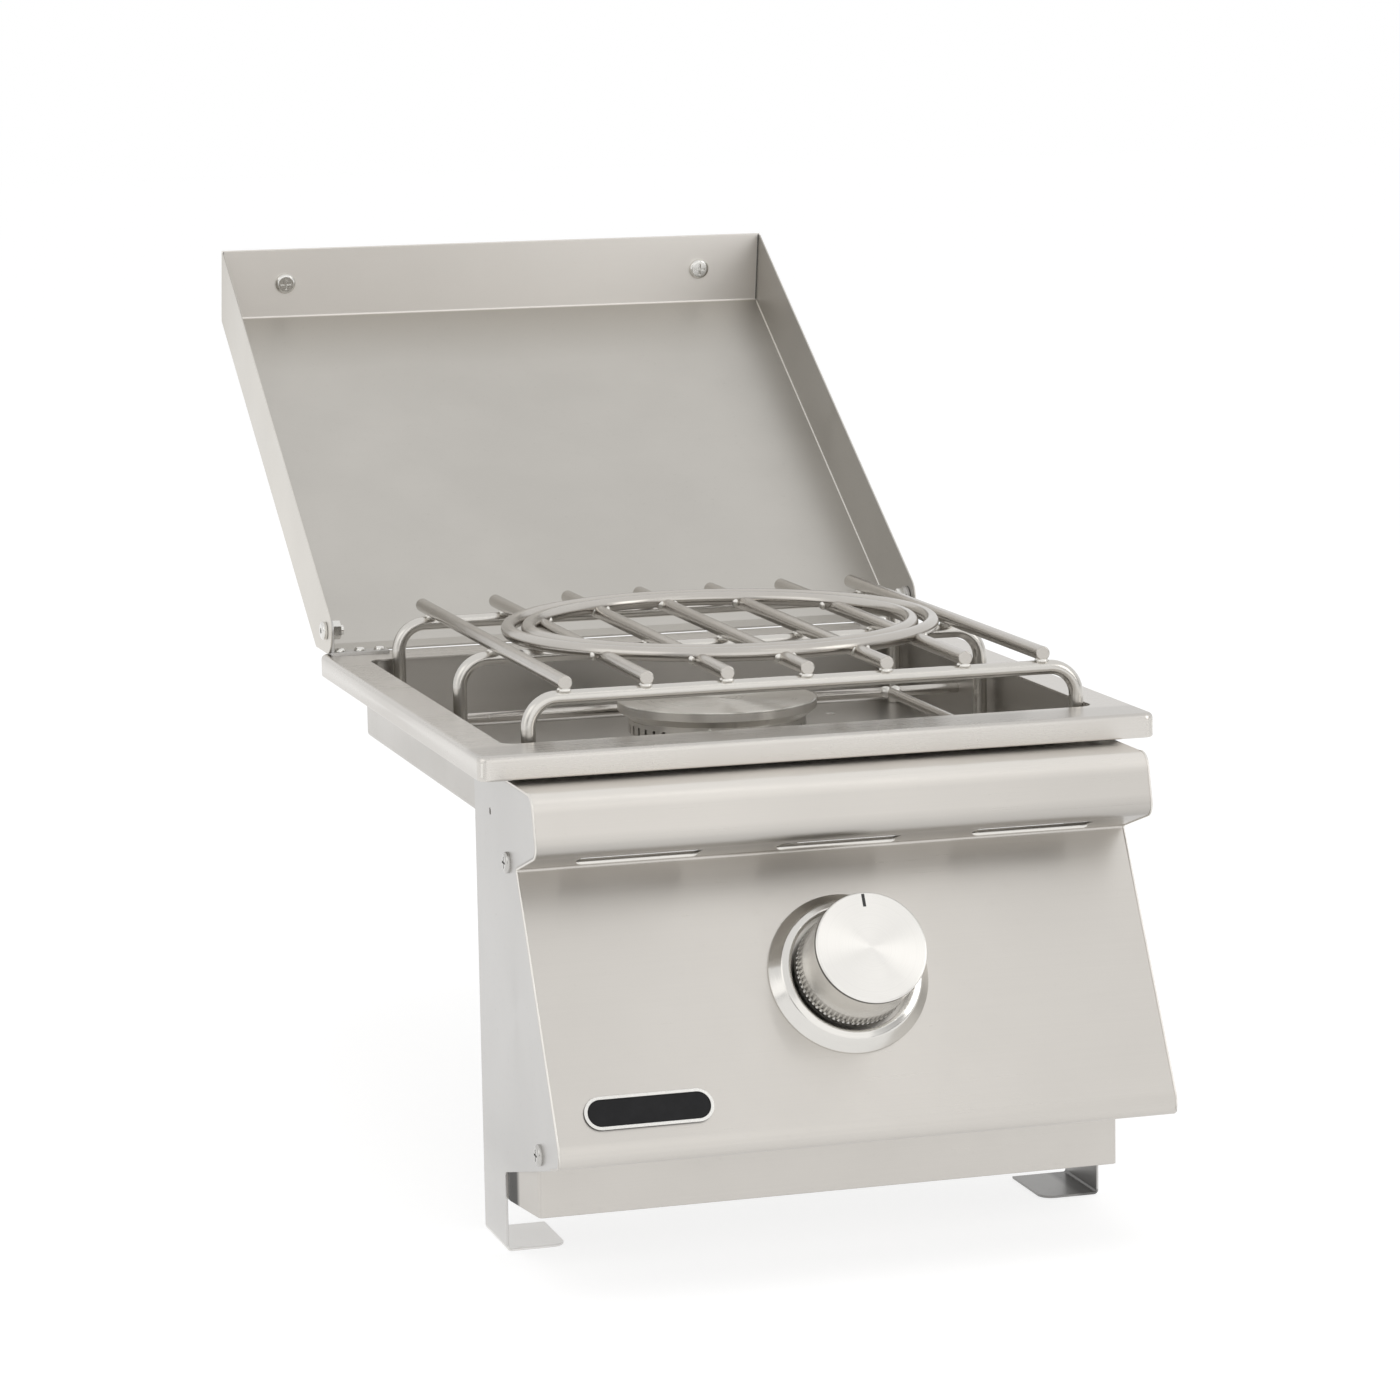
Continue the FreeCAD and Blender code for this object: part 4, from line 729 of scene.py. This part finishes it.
# Bright rolled lips on the rear edges of the nose's vent slots, a painted highlight standing in for the light seen
# there
slotLips = {"centres": (-0.110, 0.0, 0.110), "length": 0.0665, "edge": (-0.4154, -0.0426), "width": 0.0010,
            "rise": 0.0017, "tip": 0.002, "out": (0, -0.309, -0.951), "back": (0, 0.951, -0.309)}


def makeSlotLips():
    half = slotLips["length"] / 2
    y, z = slotLips["edge"]
    grids = []
    for x in slotLips["centres"]:
        line = straight((x - half, y, z), (x + half, y, z))
        grids.append(bead(line, steady(slotLips["back"], line), steady(slotLips["out"], line),
                          slotLips["width"], slotLips["rise"], slotLips["tip"]))
    meshFromGrids("slotLips", grids, finishes["weld"], "frame")


makeSlotLips()

# Bright lines of painted highlight in the inner corners where the lid's top meets its side flanges
lidFolds = {"half": 0.1852, "low": (0.0335, 0.0162), "high": (0.3096, 0.1958), "radius": 0.0006, "tip": 0.003}


def makeLidFolds():
    grids = []
    for x in (-lidFolds["half"], lidFolds["half"]):
        line = straight((x, *lidFolds["low"]), (x, *lidFolds["high"]))
        run = (line[-1] - line[0]) / np.linalg.norm(line[-1] - line[0])
        grids.append(bead(line, steady((1, 0, 0), line), steady((0, -run[2], run[1]), line),
                          lidFolds["radius"], lidFolds["radius"], lidFolds["tip"]))
    meshFromGrids("lidFolds", grids, finishes["weld"], "lid")


makeLidFolds()

# Deburred edges of the control panel, bright lines down its two sides from the nose to the hem,
# partly their own shine and partly painted highlight
panelEdges = {"half": 0.1709, "width": 0.0006, "rise": 0.0006, "tip": 0.002, "arcPoints": 9,
              "round": (0.009, 0.007, 0.0015, 0.012), "path": (
                  (-0.4200, -0.0024), (-0.4329, -0.0024), (-0.44073, -0.0338), (-0.39783, -0.04774),
                  (-0.47295, -0.1816), (-0.47410, -0.1908))}


# Rounds the corners of a line in the y-z plane: each corner gives way to an arc of its own radius,
# drawn as centre + radius*(sweep from the first touching point to the second)
def roundedLine(path, radii):
    points = [np.array(path[0])]
    for before, corner, after, radius in zip(path, path[1:], path[2:], radii):
        corner = np.array(corner)
        back = (np.array(before) - corner) / np.linalg.norm(np.array(before) - corner)
        on = (np.array(after) - corner) / np.linalg.norm(np.array(after) - corner)
        half = math.acos(np.clip(back @ on, -1, 1)) / 2
        bisector = (back + on) / np.linalg.norm(back + on)
        centre = corner + bisector * radius / math.sin(half)
        first, last = (corner + way * radius / math.tan(half) - centre for way in (back, on))
        turn = math.acos(np.clip(first @ last / radius ** 2, -1, 1))
        t = np.linspace(0, 1, panelEdges["arcPoints"])[:, None]
        points += list(centre + (np.sin((1 - t) * turn) * first + np.sin(t * turn) * last) / math.sin(turn))
    points.append(np.array(path[-1]))
    return np.array(points)


def makePanelEdges():
    flat = roundedLine(panelEdges["path"], panelEdges["round"])
    run = np.gradient(flat, axis=0)
    run /= np.linalg.norm(run, axis=1)[:, None]
    out = np.stack([np.zeros(len(flat)), run[:, 1], -run[:, 0]], axis=-1)
    grids = []
    for x in (-panelEdges["half"], panelEdges["half"]):
        line = np.column_stack([np.full(len(flat), x), flat])
        grids.append(bead(line, steady((1, 0, 0), line), out, panelEdges["width"], panelEdges["rise"],
                          panelEdges["tip"]))
    meshFromGrids("panelEdges", grids, finishes["weld"], "frame")


makePanelEdges()

# Dark crosses of painted shade at the bottom of the bracket screws' recesses
screwRecesses = {"places": ((-0.3815, -0.0467), (-0.4355, -0.1927)), "crown": 0.1737, "arm": 0.0031,
                 "width": 0.00062, "rise": 0.0003, "tip": 0.0008}


def makeScrewRecesses():
    arm = screwRecesses["arm"]
    grids = []
    for side, (y, z), (stepY, stepZ) in itertools.product((-1, 1), screwRecesses["places"],
                                                          ((1, 0), (0, 1))):
        x = side * (screwRecesses["crown"] - screwRecesses["rise"])
        line = straight((x, y - stepY * arm, z - stepZ * arm), (x, y + stepY * arm, z + stepZ * arm))
        grids.append(bead(line, steady((0, stepZ, stepY), line), steady((side, 0, 0), line),
                          screwRecesses["width"], screwRecesses["rise"], screwRecesses["tip"]))
    meshFromGrids("screwRecesses", grids, finishes["seam"], "frame")


makeScrewRecesses()
print("weld beads, seams and lips made")


# Floor, light and camera

# The world is white to the camera, graded to reflections and dimmer as a light. Two grey flags stand
# low on either side of the camera, as in a photo studio. The floor glows white and keeps the shadow.
floorLook = {"reach": 14.0, "below": 0.0005, "lit": (0.78, 0.78, 0.78), "shadowed": (0.34, 0.34, 0.34),
             "glow": 0.77}
worldLook = {"low": 0.92, "high": 1.0, "highAt": 0.7, "lit": 0.70, "flag": 0.50, "flagTop": 0.42,
             "flagFade": 0.20, "flagInner": (0.40, 0.60), "flagOuter": (0.90, 1.0),
             "flagFront": (-0.10, 0.05)}


def makeFloor():
    reach = floorLook["reach"]
    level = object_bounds()[0].z - floorLook["below"]
    mesh = bpy.data.meshes.new("studioFloor")
    corners = [(-reach, -reach, level), (reach, -reach, level), (reach, reach, level), (-reach, reach, level)]
    mesh.from_pydata(corners, [], [(0, 1, 2, 3)])
    floor = bpy.data.objects.new("studioFloor", mesh)
    bpy.context.scene.collection.objects.link(floor)
    material = bpy.data.materials.new("studioFloor")
    material.use_nodes = True
    tree = material.node_tree
    tree.nodes.clear()
    leave = tree.nodes.new("ShaderNodeOutputMaterial")
    plain = tree.nodes.new("ShaderNodeBsdfDiffuse")
    plain.inputs["Color"].default_value = (*floorLook["lit"], 1)
    seen = tree.nodes.new("ShaderNodeBsdfDiffuse")
    seen.inputs["Color"].default_value = (*floorLook["shadowed"], 1)
    glow = tree.nodes.new("ShaderNodeEmission")
    glow.inputs["Color"].default_value = (1, 1, 1, 1)
    glow.inputs["Strength"].default_value = floorLook["glow"]
    both = tree.nodes.new("ShaderNodeAddShader")
    tree.links.new(seen.outputs[0], both.inputs[0])
    tree.links.new(glow.outputs[0], both.inputs[1])
    path = tree.nodes.new("ShaderNodeLightPath")
    looked = mathNode(tree, "MAXIMUM", path.outputs["Is Camera Ray"], path.outputs["Is Glossy Ray"])
    looked = mathNode(tree, "MAXIMUM", looked, path.outputs["Is Transmission Ray"])
    pick = tree.nodes.new("ShaderNodeMixShader")
    tree.links.new(looked, pick.inputs[0])
    tree.links.new(plain.outputs[0], pick.inputs[1])
    tree.links.new(both.outputs[0], pick.inputs[2])
    tree.links.new(pick.outputs[0], leave.inputs["Surface"])
    mesh.materials.append(material)


def makeWorld():
    world = bpy.data.worlds.new("studioWorld")
    world.use_nodes = True
    bpy.context.scene.world = world
    tree = world.node_tree
    background = tree.nodes["Background"]
    place = tree.nodes.new("ShaderNodeTexCoord")
    split = tree.nodes.new("ShaderNodeSeparateXYZ")
    tree.links.new(place.outputs["Generated"], split.inputs[0])
    rise = spread(tree, split.outputs["Z"], worldLook["low"], worldLook["high"], 0.0, worldLook["highAt"])
    level = tree.nodes.new("ShaderNodeCombineXYZ")
    tree.links.new(split.outputs["X"], level.inputs["X"])
    tree.links.new(split.outputs["Y"], level.inputs["Y"])
    across = tree.nodes.new("ShaderNodeSeparateXYZ")
    tree.links.new(vectorNode(tree, "NORMALIZE", level.outputs[0]), across.inputs[0])
    side = mathNode(tree, "ABSOLUTE", across.outputs["X"])
    inner = spread(tree, side, 0, 1, *worldLook["flagInner"])
    outer = spread(tree, side, 1, 0, *worldLook["flagOuter"])
    front = spread(tree, across.outputs["Y"], 1, 0, *worldLook["flagFront"])
    top = worldLook["flagTop"]
    under = spread(tree, split.outputs["Z"], 1, 0, top - worldLook["flagFade"], top)
    sideways = mathNode(tree, "MULTIPLY", inner, outer)
    flag = mathNode(tree, "MULTIPLY", sideways, mathNode(tree, "MULTIPLY", front, under))
    shown = mathNode(tree, "MULTIPLY_ADD", flag, -worldLook["flag"], rise)
    path = tree.nodes.new("ShaderNodeLightPath")
    seen = mathNode(tree, "MAXIMUM", path.outputs["Is Camera Ray"], path.outputs["Is Transmission Ray"])
    reflected = spread(tree, path.outputs["Is Glossy Ray"], worldLook["lit"], 1)
    strength = mathNode(tree, "MULTIPLY", shown, reflected)
    strength = mathNode(tree, "MAXIMUM", strength, seen)
    tree.links.new(strength, background.inputs["Strength"])
    background.inputs["Color"].default_value = (1, 1, 1, 1)


# Soft panels: where each stands, where it looks, its two sides and its watts
lampColor = (1.0, 0.985, 0.96)
lamps = {
    "topSoftbox": {"place": (0.1, -0.3, 2.6), "target": (0, -0.1, 0), "size": (2.6, 2.2), "power": 22},
    "leftSoftbox": {"place": (-2.4, -1.2, 1.0), "target": (0, -0.2, 0), "size": (2.0, 2.2), "power": 7},
    "frontSoftbox": {"place": (-0.2, -3.4, 0.7), "target": (0, -0.2, 0), "size": (3.0, 2.0), "power": 6},
    "rightSoftbox": {"place": (1.6, -1.7, 0.8), "target": (0, -0.4, 0), "size": (0.8, 1.2), "power": 5},
    "stripSoftbox": {"place": (0.62, -1.75, 1.72), "target": (0, -0.43, -0.1), "size": (0.10, 1.4),
                     "power": 0.5},
}
unreflected = ("topSoftbox",)   # lights the object but isn't mirrored in it


def addLamp(name, place, target, size, power):
    lamp = bpy.data.lights.new(name, "AREA")
    lamp.shape = "RECTANGLE"
    lamp.size, lamp.size_y = size
    lamp.energy = power
    lamp.color = lampColor
    holder = bpy.data.objects.new(name, lamp)
    bpy.context.scene.collection.objects.link(holder)
    holder.location = place
    holder.rotation_euler = (Vector(target) - Vector(place)).to_track_quat("-Z", "Y").to_euler()
    holder.visible_glossy = name not in unreflected


# Camera, measured on the photograph's rim corners: it looks at target from distance
photoCamera = {"azimuth": 16.45, "elevation": 8.95, "roll": -1.0, "focalPixels": 4530.0,
               "imagePixels": 1400.0, "distance": 2.5954, "target": (-0.0131, -0.209, 0.0053),
               "sensor": 36.0, "clip": (0.05, 60.0)}


def makeCamera():
    look = photoCamera
    azimuth, elevation = math.radians(look["azimuth"]), math.radians(look["elevation"])
    ahead = Vector((math.sin(azimuth) * math.cos(elevation), math.cos(azimuth) * math.cos(elevation),
                    -math.sin(elevation)))
    right = ahead.cross(Vector((0, 0, 1))).normalized()
    up = right.cross(ahead)
    roll = math.radians(look["roll"])
    turnedRight = right * math.cos(roll) + up * math.sin(roll)
    turnedUp = up * math.cos(roll) - right * math.sin(roll)
    lens = bpy.data.cameras.new("photoCamera")
    lens.sensor_width = look["sensor"]
    lens.lens = look["focalPixels"] / look["imagePixels"] * lens.sensor_width
    lens.clip_start, lens.clip_end = look["clip"]
    camera = bpy.data.objects.new("photoCamera", lens)
    bpy.context.scene.collection.objects.link(camera)
    axes = Matrix((turnedRight, turnedUp, -ahead)).transposed()
    stand = Vector(look["target"]) - ahead * look["distance"]
    camera.matrix_world = Matrix.Translation(stand) @ axes.to_4x4()
    bpy.context.scene.camera = camera


makeFloor()
makeWorld()
for lampName, lampValues in lamps.items():
    addLamp(lampName, **lampValues)
makeCamera()
bpy.context.scene.view_settings.view_transform = "Standard"
print("floor, light and camera set")
